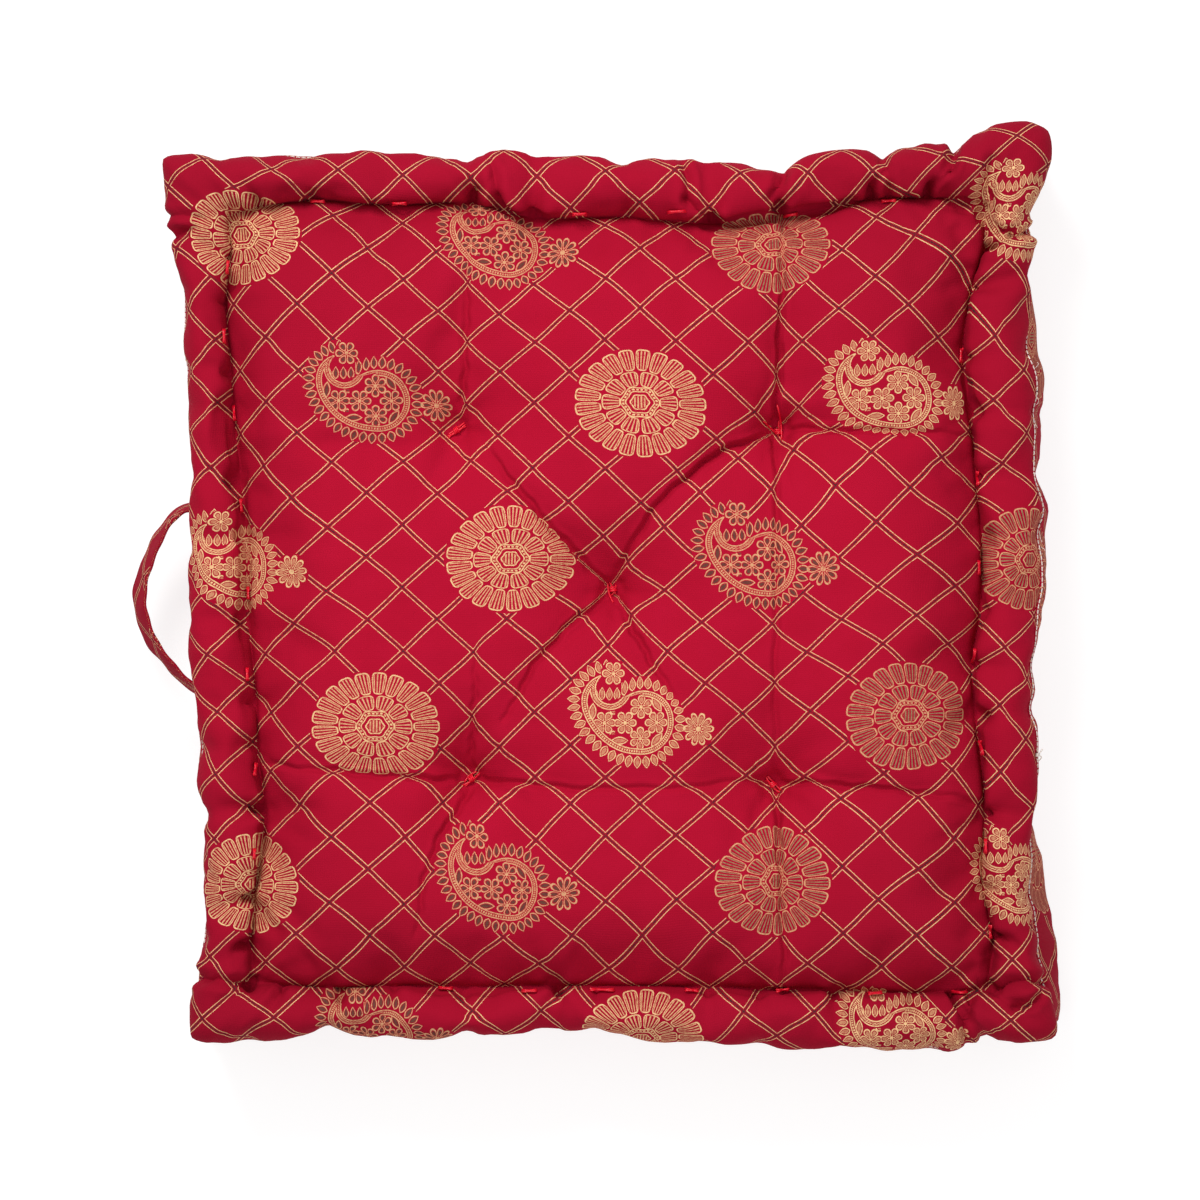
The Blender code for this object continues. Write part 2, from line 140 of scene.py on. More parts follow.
# Where the side band stands out past the roll on the right: place along, reach.
BAND_ROWS = (
    (240.0, -3.0), (197.0, -2.0), (166.0, 3.0), (128.0, 5.5), (90.0, 7.5), (62.0, 7.0),
    (35.0, 3.5), (-4.0, 3.0), (-57.0, 3.5), (-100.0, 0.5), (-120.0, 4.0), (-150.0, 9.5),
    (-182.0, 12.5), (-204.0, 9.5), (-222.5, 3.0),
)
SIDES = (
    ("back_left", "back_right", 0, 1.0, BACK_ROWS),
    ("back_right", "front_right", 1, 1.0, RIGHT_ROWS),
    ("front_right", "front_left", 0, -1.0, FRONT_ROWS),
    ("front_left", "back_left", 1, -1.0, LEFT_ROWS),
)
# Tufts: x and y of the knot.
TUFT_SPOTS = {
    "back_left": (-79.7, 86.9),
    "back_right": (85.1, 86.4),
    "middle": (0.5, 5.7),
    "front_left": (-72.0, -91.5),
    "front_right": (82.3, -94.3),
}
TUFT_HOLLOW = 13.0          # depth of the broad hollow round a tuft
TUFT_HOLLOW_WIDTH = 34.0
TUFT_PIT = 9.0              # and of the pit right under the knot
TUFT_PIT_WIDTH = 11.0

# Pulled creases between the tufts and out to the groove: start, end, sideways bow,
# depth, half-width, and how much cloth the fold takes up.
CREASES = (
    ((84.0, 86.0), (1.0, 8.0), -14.5, 4.0, 8.0, 9.0),
    ((-2.0, 2.0), (-52.0, -58.0), -6.0, 3.0, 9.0, 2.5),
    ((-2.0, 8.0), (-60.0, 72.0), 2.0, 3.0, 9.0, 8.0),
    ((2.0, 2.0), (30.0, -46.0), -1.0, 2.5, 8.0, 5.0),
    ((84.0, 90.0), (87.0, 192.0), 0.0, 3.5, 9.0, 6.0),
    ((84.0, 82.0), (83.0, -88.0), 0.0, 2.0, 10.0, 3.0),
    ((84.0, -100.0), (88.0, -190.0), 0.0, 3.0, 10.0, 5.0),
    ((-76.0, 92.0), (-73.0, 165.0), 0.0, 2.0, 10.0, 4.0),
    ((-74.0, -100.0), (-98.0, -165.0), -6.0, 2.5, 10.0, 4.0),
    ((-72.0, -88.0), (-69.0, -30.0), 0.0, 2.0, 10.0, 4.0),
    ((88.0, 87.0), (178.0, 84.0), 0.0, 2.5, 10.0, 6.0),
    ((88.0, -94.0), (185.0, -103.0), 3.0, 2.5, 10.0, 5.0),
    ((-78.0, -92.0), (-170.0, -84.0), 0.0, 2.5, 10.0, 5.0),
    ((-66.0, -92.0), (76.0, -92.0), -4.0, 2.0, 10.0, 3.0),
)
# Short folds at the corners and across the rolls: start, end, sideways bow, depth, width.
SHORT_FOLDS = (
    ((195.5, -198.0), (221.0, -195.0), 3.0, 5.0, 2.4),
    ((206.0, -206.5), (217.5, -201.5), -1.5, 4.5, 2.0),
    ((195.0, 188.7), (216.0, 188.2), -2.4, 6.0, 2.2),
    ((192.0, 190.0), (193.5, 224.0), 1.5, 3.5, 2.6),
    ((-224.4, 196.4), (-209.6, 194.8), 0.5, 2.5, 2.2),
    ((-222.5, 186.0), (-213.5, 189.6), 0.5, 4.0, 2.4),
    ((-213.0, -192.3), (-184.6, -196.4), 1.0, 4.5, 2.4),
    ((-61.7, 221.5), (-59.2, 203.0), 0.5, 3.0, 2.2),
    ((-59.2, 203.0), (-48.5, 195.3), -1.0, 3.0, 2.4),
    ((36.7, 219.0), (37.7, 203.0), 1.5, 3.2, 2.0),
    ((37.7, 203.0), (55.0, 192.8), -2.0, 3.5, 2.4),
    ((86.8, 216.0), (81.6, 203.0), 0.5, 3.0, 2.2),
    ((182.5, -203.5), (181.6, -227.0), -2.0, 4.5, 2.2),
    ((139.0, 224.0), (141.0, 207.0), 1.0, 2.2, 2.2),
    ((174.4, 231.5), (172.0, 219.0), 0.0, 3.5, 2.2),
)
GROOVE_TAKES = 3.0          # cloth that the sewn groove itself takes up,
EDGE_TAKES = 5.5            # and the steep edge of the panel beside it,
EDGE_TAKES_RUN = 6.0        # over this length
CORNER_RUN = 36.0           # near a corner the groove is shallow and takes less
PANEL, ROLL, BAND, LOW_ROLL, LOW_PANEL = range(5)


def smooth_through(at, knots, values):
    """Cubic curve through the rows, with slopes taken from the neighbouring rows."""
    knots = np.asarray(knots, float)
    values = np.asarray(values, float)
    slopes = np.gradient(values, knots)
    row = np.clip(np.searchsorted(knots, at, side="right") - 1, 0, len(knots) - 2)
    span = knots[row + 1] - knots[row]
    t = (at - knots[row]) / span
    rise_in = (t ** 3 - 2 * t ** 2 + t) * span * slopes[row]
    rise_out = (t ** 3 - t ** 2) * span * slopes[row + 1]
    blend = 3 * t ** 2 - 2 * t ** 3
    return values[row] * (1 - blend) + values[row + 1] * blend + rise_in + rise_out


def side_lines(side):
    """Outer edge, groove, band reach, pinch and widening at each column of one side."""
    start, end, run, outward, rows = side
    along_rows, outer_rows, groove_rows, swell_rows, pinch_rows = np.array(rows).T
    length = along_rows[-1] - along_rows[0]
    knots = np.round((along_rows - along_rows[0]) / length * CELLS)
    column = np.arange(CELLS + 1)
    along = np.interp(column, knots, along_rows)
    row = np.clip(np.searchsorted(knots, column, side="right") - 1, 0, len(knots) - 2)
    t = (column - knots[row]) / (knots[row + 1] - knots[row])
    swell = swell_rows[row] * np.sin(math.pi * np.clip(t, 0, 1)) ** 0.7
    outer = smooth_through(column, knots, outer_rows) + outward * swell
    groove = smooth_through(column, knots, groove_rows)
    pinch = np.max(pinch_rows * np.exp(-np.abs(along[:, None] - along_rows) / PINCH_RUN), axis=1)

    middle = 0.5 * (along_rows[0] + along_rows[-1])
    share = (along - middle) / (0.5 * length)
    start_move = GROOVE_CORNERS[start][run] - along_rows[0]
    end_move = GROOVE_CORNERS[end][run] - along_rows[-1]
    inner_along = along + np.where(share < 0, start_move, end_move) * share ** 4
    if rows is RIGHT_ROWS:
        band_along, band_reach = np.array(BAND_ROWS).T
        reach = np.interp(-along, -band_along, band_reach)
    else:
        reach = np.full(CELLS + 1, BAND_TUCK)

    outer_xy = np.stack([along, outer], axis=1)
    groove_xy = np.stack([inner_along, groove], axis=1)
    if run == 1:
        outer_xy = outer_xy[:, ::-1]
        groove_xy = groove_xy[:, ::-1]
    square_on = np.abs(outer - groove)
    return outer_xy, groove_xy, reach, pinch, square_on


def panel_plan(edge):
    """Grid of plan points spanned by the four grooves, as a Coons patch."""
    ring = np.concatenate([edge, edge[:1]])
    back, right, front, left = (ring[k * CELLS:(k + 1) * CELLS + 1] for k in range(4))
    u = np.linspace(0, 1, CELLS + 1)[:, None, None]
    v = np.linspace(0, 1, CELLS + 1)[None, :, None]
    corners = ((1 - u) * (1 - v) * back[0] + u * (1 - v) * back[-1]
               + (1 - u) * v * front[-1] + u * v * front[0])
    return ((1 - v) * back[:, None] + v * front[::-1][:, None]
            + (1 - u) * left[::-1][None] + u * right[None] - corners)


def panel_height(plan):
    """Crown of the panel, less the tufts' hollows and the broad part of each crease."""
    x, y = plan[..., 0], plan[..., 1]
    edges = np.stack([x - x[0], x[-1] - x, y[:, :1] - y, y - y[:, -1:]])
    inset = np.sum(np.maximum(edges, 0.5) ** -3.0, axis=0) ** (-1 / 3)
    rise = 1 - (1 - np.clip(inset / CROWN_RUN, 0, 1)) ** 2.4
    height = SEAM_HEIGHT + (HEIGHT - SEAM_HEIGHT) * rise
    for spot in TUFT_SPOTS.values():
        far = np.hypot(x - spot[0], y - spot[1])
        height = height - TUFT_HOLLOW * np.exp(-(far / TUFT_HOLLOW_WIDTH) ** 2)
        height = height - TUFT_PIT * np.exp(-(far / TUFT_PIT_WIDTH) ** 2)
    for start, end, bow, depth, width, _ in CREASES:
        t, across, beyond = along_crease(x, y, start, end, bow)
        miss = np.hypot(across, beyond)
        height = height - 0.7 * depth * (1 - 0.6 * t) * np.exp(-(miss / width) ** 2) * rise
    return height, rise


def along_crease(x, y, start, end, bow):
    """Share of the way along a bowed line, distance to its side, and distance past its end."""
    run = np.subtract(end, start)
    length = np.hypot(*run)
    along = ((x - start[0]) * run[0] + (y - start[1]) * run[1]) / length ** 2
    across = ((y - start[1]) * run[0] - (x - start[0]) * run[1]) / length
    t = np.clip(along, 0, 1)
    return t, across - bow * 4 * t * (1 - t), (along - t) * length


def grid_faces(index):
    """Quads between the neighbouring entries of a two-way index table."""
    quads = np.stack([index[:-1, :-1], index[1:, :-1], index[1:, 1:], index[:-1, 1:]], axis=-1)
    return quads.reshape(-1, 4)


def mesh_object(name, places, quads, smooth=True):
    """One mesh object from points in millimetres of the photograph's plan."""
    mesh = bpy.data.meshes.new(name)
    places = (np.asarray(places, float) + (*PLAN_SHIFT, 0.0)) * MM
    mesh.from_pydata(places.tolist(), [], np.asarray(quads).tolist())
    mesh.polygons.foreach_set("use_smooth", [smooth] * len(mesh.polygons))
    piece = bpy.data.objects.new(name, mesh)
    bpy.context.scene.collection.objects.link(piece)
    return piece


lines = [side_lines(side) for side in SIDES]
outer, groove, reach, pinch, square_on = (
    np.concatenate([line[k][:-1] for line in lines]) for k in range(5))
span = outer - groove
outward = span / np.linalg.norm(span, axis=1)[:, None]
around = 4 * CELLS

# Rings from the top groove, over the roll and down the band, to the lower groove.
turn = np.radians(np.linspace(ROLL_START, ROLL_END, ROLL_CELLS + 1))
across_roll = 0.5 + 0.5 * np.cos(turn)
across_roll[0] = 0.0
roll_heights = ROLL_MIDDLE + ROLL_RISE * np.sin(turn)
roll_heights[0] = SEAM_HEIGHT
drop = PINCH_DROP * pinch[None] * np.maximum(np.sin(turn), 0)[:, None]
top_roll = np.concatenate([groove + span * across_roll[:, None, None],
                           (roll_heights[:, None] - drop)[..., None]], axis=2)
low_outer = outer + outward * reach[:, None]
low_groove = low_outer - span
lowered = np.maximum(HEIGHT - FLOOR_SINK - roll_heights[::-1], 0.0)
low_roll = np.concatenate([low_groove + span * across_roll[::-1, None, None],
                           np.broadcast_to(lowered[:, None, None], (ROLL_CELLS + 1, around, 1))], axis=2)
down = np.linspace(0, 1, BAND_CELLS + 1)[1:-1, None]
stand = reach * np.sin(0.5 * math.pi * down) + BAND_BELLY * np.sin(math.pi * down)
band = np.concatenate([top_roll[-1, :, :2] + outward * stand[..., None],
                       np.broadcast_to((roll_heights[-1] + (lowered[0] - roll_heights[-1]) * down)[..., None],
                                       (BAND_CELLS - 1, around, 1))], axis=2)
rings = np.concatenate([top_roll, band, low_roll])
ring_index = np.arange(rings.shape[0] * around).reshape(-1, around)
ring_quads = grid_faces(np.concatenate([ring_index, ring_index[:, :1]], axis=1))
ring_region = np.repeat([ROLL] * ROLL_CELLS + [BAND] * BAND_CELLS + [LOW_ROLL] * ROLL_CELLS, around)

# Cloth under each ring point: the top's cloth runs on from the panel, less what the
# groove takes, by its true length over the roll. The band is a strip of its own.
steps = np.linalg.norm(np.diff(rings, axis=0), axis=2)
run_down = np.concatenate([np.zeros((1, around)), np.cumsum(steps, axis=0)])
run_up = run_down[-1] - run_down
past = (span / square_on[:, None])[None]
crest = int(np.argmax(roll_heights))
from_groove = np.linalg.norm(rings[..., :2] - groove, axis=2)
spread = np.where(np.arange(len(rings))[:, None] <= crest, from_groove,
                  from_groove[crest] + run_down - run_down[crest])
spread *= square_on / np.linalg.norm(span, axis=1)
corner_gap = np.minimum(np.arange(around) % CELLS, CELLS - np.arange(around) % CELLS) * 430.0 / CELLS
taking = 1 - 0.85 * np.exp(-(corner_gap / CORNER_RUN) ** 2)
top_cloth = groove + past * ((GROOVE_TAKES + EDGE_TAKES) * taking + spread)[..., None]
low_cloth = low_groove + past * (GROOVE_TAKES + EDGE_TAKES + run_up)[..., None]
edge_steps = np.linalg.norm(np.roll(outer, -1, axis=0) - outer, axis=1)
edge_run = np.concatenate([[0], np.cumsum(edge_steps)])
BAND_CLOTH = (42.0, 911.0)   # where the band's strip lies in the print
LOW_CLOTH = (90.0, -1100.0)  # and the underside
ring_cloth = {
    ROLL: np.concatenate([top_cloth, top_cloth[:, :1]], axis=1),
    LOW_ROLL: np.concatenate([low_cloth, low_cloth[:, :1]], axis=1) + LOW_CLOTH,
    BAND: np.stack([np.broadcast_to(edge_run, (len(rings), around + 1)),
                    -np.concatenate([run_down, run_down[:, :1]], axis=1)], axis=2) + BAND_CLOTH,
}
cloth = [ring_cloth[region][row:row + 2] for row, region in
         enumerate([ROLL] * ROLL_CELLS + [BAND] * BAND_CELLS + [LOW_ROLL] * ROLL_CELLS)]
cloth = [np.stack([pair[0, :-1], pair[1, :-1], pair[1, 1:], pair[0, 1:]], axis=1) for pair in cloth]

# Each panel shares its border with the first or last ring.
places = [rings.reshape(-1, 3)]
quads = [ring_quads]
regions = [ring_region]
settings_at = np.zeros((rings.shape[0] * around, 3))
edge_turn = 2 * math.pi * edge_run[:-1] / edge_run[-1]
roll_share = np.concatenate([across_roll, np.ones(BAND_CELLS - 1), across_roll[::-1]])
settings_at[:, 0] = np.tile(np.cos(edge_turn), len(rings))
settings_at[:, 1] = np.tile(np.sin(edge_turn), len(rings))
settings_at[:, 2] = np.repeat(roll_share, around)
panel_at = [np.column_stack([rings.reshape(-1, 3)[:, :2], np.zeros(rings.shape[0] * around)])]
edge_at = [settings_at]
total = rings.shape[0] * around
for ring, edge, region in ((0, groove, PANEL), (-1, low_groove, LOW_PANEL)):
    plan = panel_plan(edge)
    height, rise = panel_height(plan)
    if region == LOW_PANEL:
        height = np.maximum(HEIGHT - FLOOR_SINK - height, 0.0)
    index = np.zeros((CELLS + 1, CELLS + 1), int)
    border = np.concatenate([ring_index[ring], ring_index[ring][:1]])
    index[:, 0] = border[:CELLS + 1]
    index[-1, :] = border[CELLS:2 * CELLS + 1]
    index[:, -1] = border[2 * CELLS:3 * CELLS + 1][::-1]
    index[0, :] = border[3 * CELLS:4 * CELLS + 1][::-1]
    index[1:-1, 1:-1] = total + np.arange((CELLS - 1) ** 2).reshape(CELLS - 1, -1)
    total += (CELLS - 1) ** 2
    places.append(np.dstack([plan, height])[1:-1, 1:-1].reshape(-1, 3))
    panel_at.append(np.dstack([plan, rise if region == PANEL else -rise])[1:-1, 1:-1].reshape(-1, 3))
    edge_at.append(np.tile([1.0, 0.0, -1.0], ((CELLS - 1) ** 2, 1)))
    panel_quads = grid_faces(index)
    inset = np.stack([plan[-1:, :, 0] - plan[..., 0], plan[..., 0] - plan[:1, :, 0],
                      plan[:, :1, 1] - plan[..., 1], plan[..., 1] - plan[:, -1:, 1]])
    taken = EDGE_TAKES * np.exp(-(inset / EDGE_TAKES_RUN) ** 1.3)
    shallow = np.stack([1 - 0.85 * np.exp(-(np.minimum(inset[(k + 2) % 4], inset[(k + 3) % 4]) / CORNER_RUN) ** 2)
                        for k in (0, 0, 2, 2)])
    taken = taken * shallow
    plan = plan + np.stack([taken[0] - taken[1], taken[2] - taken[3]], axis=2)
    if region == LOW_PANEL:
        plan = plan + LOW_CLOTH
    corners = grid_faces(np.arange((CELLS + 1) ** 2).reshape(CELLS + 1, CELLS + 1))
    panel_cloth = plan.reshape(-1, 2)[corners]
    if region == LOW_PANEL:
        panel_quads = panel_quads[:, ::-1]
        panel_cloth = panel_cloth[:, ::-1]
    quads.append(panel_quads)
    cloth.append(panel_cloth)
    regions.append(np.full(len(panel_quads), region))
places = np.concatenate(places)
quads = np.concatenate(quads)[:, ::-1]
cloth = np.concatenate(cloth)[:, ::-1]
regions = np.concatenate(regions)
panel_at = np.concatenate(panel_at)
edge_at = np.concatenate(edge_at)

cover = mesh_object("cushion_cover", places, quads)
mesh = cover.data
mesh.uv_layers.new(name="cloth").data.foreach_set("uv", (cloth.reshape(-1) * MM).astype(np.float32))
for name, values in (("panel_at", panel_at), ("edge_at", edge_at)):
    mesh.attributes.new(name, "FLOAT_VECTOR", "POINT").data.foreach_set(
        "vector", values.reshape(-1).astype(np.float32))
mesh.attributes.new("region", "INT", "FACE").data.foreach_set("value", regions.astype(np.int32))

# The filling presses the cloth out between the stitches that hold it. A little spare cloth
# gives it the small waves of a hand-stuffed cushion. No point moves more than MOST_SWELL.
MOST_SWELL = 3.6
SPARE_CLOTH = 0.035
sewn = cover.vertex_groups.new(name="sewn")
near_tuft = np.min([np.hypot(*(places[:, :2] - spot).T) for spot in TUFT_SPOTS.values()], axis=0)
on_panel = np.abs(panel_at[:, 2]) > 0
held = np.where(on_panel & (near_tuft < 8.0))[0]
sewn.add(held.tolist() + ring_index[0].tolist() + ring_index[-1].tolist(), 1.0, "REPLACE")
sewn.add(ring_index[ROLL_CELLS].tolist() + ring_index[ROLL_CELLS + BAND_CELLS].tolist(), 0.5, "REPLACE")
filling = cover.modifiers.new("filling", "CLOTH")
filling.settings.quality = 5
filling.settings.mass = 0.2
filling.settings.tension_stiffness = 12.0
filling.settings.compression_stiffness = 12.0
filling.settings.shear_stiffness = 6.0
filling.settings.bending_stiffness = 0.4
filling.settings.vertex_group_mass = "sewn"
filling.settings.use_pressure = True
filling.settings.uniform_pressure_force = 4.0
filling.settings.shrink_min = -SPARE_CLOTH
filling.settings.effector_weights.gravity = 0.0
filling.collision_settings.use_collision = False
for step in range(1, 21):
    bpy.context.scene.frame_set(step)
shaped = cover.evaluated_get(bpy.context.evaluated_depsgraph_get()).to_mesh()
moved = np.zeros(len(shaped.vertices) * 3, np.float32)
shaped.vertices.foreach_get("co", moved)
cover.evaluated_get(bpy.context.evaluated_depsgraph_get()).to_mesh_clear()
cover.modifiers.remove(filling)
cover.vertex_groups.clear()
bpy.context.scene.frame_set(1)
start = (places + (*PLAN_SHIFT, 0.0)) * MM
swell = moved.reshape(-1, 3) - start
size = np.maximum(np.linalg.norm(swell, axis=1), 1e-9)
print("swell", np.percentile(size * 1000, [50, 90, 99, 100]))
limit = MOST_SWELL * MM
swell *= (limit * np.tanh(size / limit) / size)[:, None]
start += swell
start[:, 2] = np.maximum(start[:, 2], 0.0)
mesh.vertices.foreach_set("co", start.reshape(-1).astype(np.float32))

smoothing = cover.modifiers.new("smoothing", "SUBSURF")
smoothing.levels = 1
smoothing.render_levels = 1
fine = bpy.data.meshes.new_from_object(cover.evaluated_get(bpy.context.evaluated_depsgraph_get()))
cover.modifiers.remove(smoothing)
cover.data = fine
mesh = fine


def read_vectors(mesh, name, kind="vector"):
    """A mesh's coordinates or vector attribute as an array with three columns."""
    source = mesh.vertices if name == "co" else mesh.attributes[name].data
    values = np.zeros(len(source) * 3, np.float32)
    source.foreach_get("co" if name == "co" else kind, values)
    return values.reshape(-1, 3).astype(float)


def fold_profile(miss):
    """A fold in cross-section: a sharp dip with a low lip on each side."""
    return np.exp(-np.abs(miss) ** 1.25) - 0.28 * np.exp(-((np.abs(miss) - 2.3) / 1.0) ** 2)


groove_run = np.roll(groove, -1, axis=0) - np.roll(groove, 1, axis=0)
square_out = np.stack([groove_run[:, 1], -groove_run[:, 0]], axis=1)
square_out *= (np.sign(np.sum(square_out * outward, axis=1)) / np.linalg.norm(square_out, axis=1))[:, None]


def beside_groove(plan):
    """Nearest column of the groove to each plan point, and the distance outwards from its line."""
    nearest = np.zeros(len(plan), int)
    least = np.full(len(plan), np.inf)
    for column in range(around):
        far = np.sum((plan - groove[column]) ** 2, axis=1)
        closer = far < least
        nearest[closer] = column
        least[closer] = far[closer]
    return nearest, np.sum((plan - groove[nearest]) * square_out[nearest], axis=1)


def near_creases(mesh, width):
    """Which points of the top panel lie within a width of a crease."""
    x, y, rise = read_vectors(mesh, "panel_at").T
    height = read_vectors(mesh, "co")[:, 2] / MM
    near = np.zeros(len(x), bool)
    for start, end, bow, *_ in CREASES:
        _, across, beyond = along_crease(x, y, start, end, bow)
        near |= (np.abs(across) < width) & (np.abs(beyond) < 8.0) & (rise > 0)
    for start, end, bow, *_ in SHORT_FOLDS:
        _, across, beyond = along_crease(x, y, start, end, bow)
        near |= (np.abs(across) < width) & (np.abs(beyond) < width) & (rise >= 0) & (height > 60.0)
    if width > 5.0:
        _, aside = beside_groove(np.stack([x, y], axis=1))
        near |= (np.abs(aside) < 0.6 * width) & (rise >= 0) & (height > 58.0)
    return near


# Narrow folds need closer points: the faces along each crease are split in four, twice.
for width in (9.0, 4.0):
    close = near_creases(mesh, width)
    shape = bmesh.new()
    shape.from_mesh(mesh)
    edges = [edge for edge in shape.edges if close[edge.verts[0].index] and close[edge.verts[1].index]]
    bmesh.ops.subdivide_edges(shape, edges=edges, cuts=1, use_grid_fill=True)
    shape.to_mesh(mesh)
    shape.free()

# Sharp folds: along each crease, rays from every tuft and short puckers at every stitch.
steady = np.random.default_rng(11)
spot_at = read_vectors(mesh, "co") / MM - (*PLAN_SHIFT, 0.0)
panel_now = read_vectors(mesh, "panel_at")
edge_now = read_vectors(mesh, "edge_at")
normals = np.zeros(len(mesh.vertices) * 3, np.float32)
mesh.vertices.foreach_get("normal", normals)
normals = normals.reshape(-1, 3).astype(float)
folds = []
for spot in TUFT_SPOTS.values():
    first = steady.uniform(0, 2 * math.pi)
    for ray in range(9):
        angle = first + (ray + steady.uniform(-0.3, 0.3)) * 2 * math.pi / 9
        length = steady.uniform(16, 42)
        end = (spot[0] + length * math.cos(angle), spot[1] + length * math.sin(angle))
        start = (spot[0] + 4 * math.cos(angle), spot[1] + 4 * math.sin(angle))
        folds.append((start, end, steady.uniform(-3, 3), steady.uniform(0.9, 1.7), steady.uniform(2.4, 3.6)))
for start, end, run, side_out, rows in SIDES:
    for row in rows[1:-1]:
        for lean in (-0.5, 0.15, 0.6):
            length = steady.uniform(14, 34) * (0.6 + 0.4 * row[4])
            spot = (row[0] + 6 * lean, row[2] - side_out * 3)
            tip = (row[0] + lean * length, row[2] - side_out * length)
            if run == 1:
                spot, tip = spot[::-1], tip[::-1]
            folds.append((spot, tip, 0.0, steady.uniform(0.8, 1.6) * (0.5 + 0.8 * row[4]), 3.0))
rise_now = np.abs(panel_now[:, 2])
on_top = (panel_now[:, 2] > 0) | (edge_now[:, 2] < 0.02) & (spot_at[:, 2] > 50)
dent = np.zeros(len(spot_at))
near_tuft = np.min([np.hypot(*(panel_now[:, :2] - spot).T) for spot in TUFT_SPOTS.values()], axis=0)
away_tuft = 1 - 0.85 * np.exp(-(near_tuft / 9.0) ** 2)
for start, end, bow, depth, _, _ in CREASES:
    t, across, beyond = along_crease(panel_now[:, 0], panel_now[:, 1], start, end, bow)
    across = across + 0.5 * np.sin(t * 17 + depth) + 0.35 * np.sin(t * 41)
    near = fold_profile(across / 1.2) + 0.4 * np.exp(-(across / 4.5) ** 2)
    dent += 1.0 * depth * (1 - 0.6 * t ** 2) * near * np.exp(-(beyond / 8.0) ** 2) * on_top * away_tuft
for start, end, bow, depth, width in folds:
    t, across, beyond = along_crease(panel_now[:, 0], panel_now[:, 1], start, end, bow)
    near = fold_profile(across / (width * (1.0 - 0.35 * t))) * np.exp(-(beyond / 3.0) ** 2)
    dent += depth * (1 - 0.75 * t ** 1.5) * near * np.where(on_top, 1.0, 0.0)
upper = (panel_now[:, 2] >= 0) & (spot_at[:, 2] > 58.0)
for start, end, bow, depth, width in SHORT_FOLDS:
    t, across, beyond = along_crease(panel_now[:, 0], panel_now[:, 1], start, end, bow)
    dent += depth * fold_profile(across / width) * np.exp(-(beyond / 3.0) ** 2) * upper
low_side = panel_now[:, 2] < 0
for start, end, bow, depth, _, _ in CREASES:
    width = 3.4
    t, across, beyond = along_crease(panel_now[:, 0], panel_now[:, 1], start, end, bow)
    dent += 0.4 * depth * (1 - 0.75 * t) * fold_profile(across / width) * np.exp(-(beyond / 3.0) ** 2) * low_side

# Folds across the rolls, which fan out from each stitch, and low ripples between them.
edge_place = np.mod(np.arctan2(edge_now[:, 1], edge_now[:, 0]), 2 * math.pi) / (2 * math.pi) * edge_run[-1]
on_roll = (edge_now[:, 2] >= 0) & (rise_now < 0.02)
top_half = spot_at[:, 2] > 40
share_now = np.clip(edge_now[:, 2], 0, 1)
corner_run = [edge_run[k * CELLS] for k in range(5)]
for k, (start, end, run, side_out, rows) in enumerate(SIDES):
    for row in rows[1:-1]:
        column = abs(row[0] - rows[0][0]) / abs(rows[-1][0] - rows[0][0])
        place = np.interp(column * CELLS, np.arange(CELLS + 1), edge_run[k * CELLS:(k + 1) * CELLS + 1])
        for lean, weight in ((-16.0, 0.5), (-6.0, 0.6), (0.0, 1.0), (7.0, 0.6), (17.0, 0.5)):
            lean = lean * steady.uniform(0.7, 1.3)
            depth = weight * (0.4 + 2.2 * row[4]) * steady.uniform(0.6, 1.3)
            width = steady.uniform(2.4, 4.0)
            miss = (edge_place - place - lean * share_now) / width
            near = fold_profile(miss) * (1 - 0.55 * share_now) * np.where(top_half, 1.0, 0.5)
            dent += depth * near * on_roll
# The groove is drawn in hardest at a few places along it: place round the edge, reach.
for k, at, reach_along, depth in ((0, -43.0, 16.0, 4.0), (0, 62.0, 26.0, 4.0), (0, 104.0, 22.0, 4.0),
                                  (3, 30.0, 60.0, 3.5), (3, -120.0, 40.0, 2.0), (1, 110.0, 30.0, 3.0),
                                  (1, -40.0, 60.0, 2.0), (2, -60.0, 50.0, 2.0), (2, 90.0, 60.0, 2.0)):
    rows = SIDES[k][4]
    column = (at - rows[0][0]) / (rows[-1][0] - rows[0][0])
    place = edge_run[k * CELLS] + column * (edge_run[(k + 1) * CELLS] - edge_run[k * CELLS])
    in_groove = np.exp(-((share_now / 0.07) ** 2)) * on_roll + np.exp(-((rise_now / 0.1) ** 2)) * ~on_roll
    side_at = panel_now[:, SIDES[k][2]] - at
    far_side = np.abs(panel_now[:, 1 - SIDES[k][2]] - rows[len(rows) // 2][2]) < 16.0
    dent += depth * in_groove * np.exp(-(side_at / reach_along) ** 4) * far_side * upper
for wave, size in ((9.5, 0.08), (14.0, 0.12), (23.0, 0.2), (37.0, 0.35)):
    tilt, phase = steady.uniform(-3, 3), steady.uniform(0, 6)
    dent += size * np.sin(2 * math.pi * edge_place / wave + tilt * share_now + phase) * on_roll
for wave, size in ((31.0, 0.25), (47.0, 0.4), (19.0, 0.12)):
    angle, phase = steady.uniform(0, 3), steady.uniform(0, 6)
    ripple = panel_now[:, 0] * math.cos(angle) + panel_now[:, 1] * math.sin(angle)
    dent += size * np.sin(2 * math.pi * ripple / wave + phase + 0.02 * panel_now[:, 1]) * (rise_now > 0.02)
spot_at -= normals * dent[:, None]
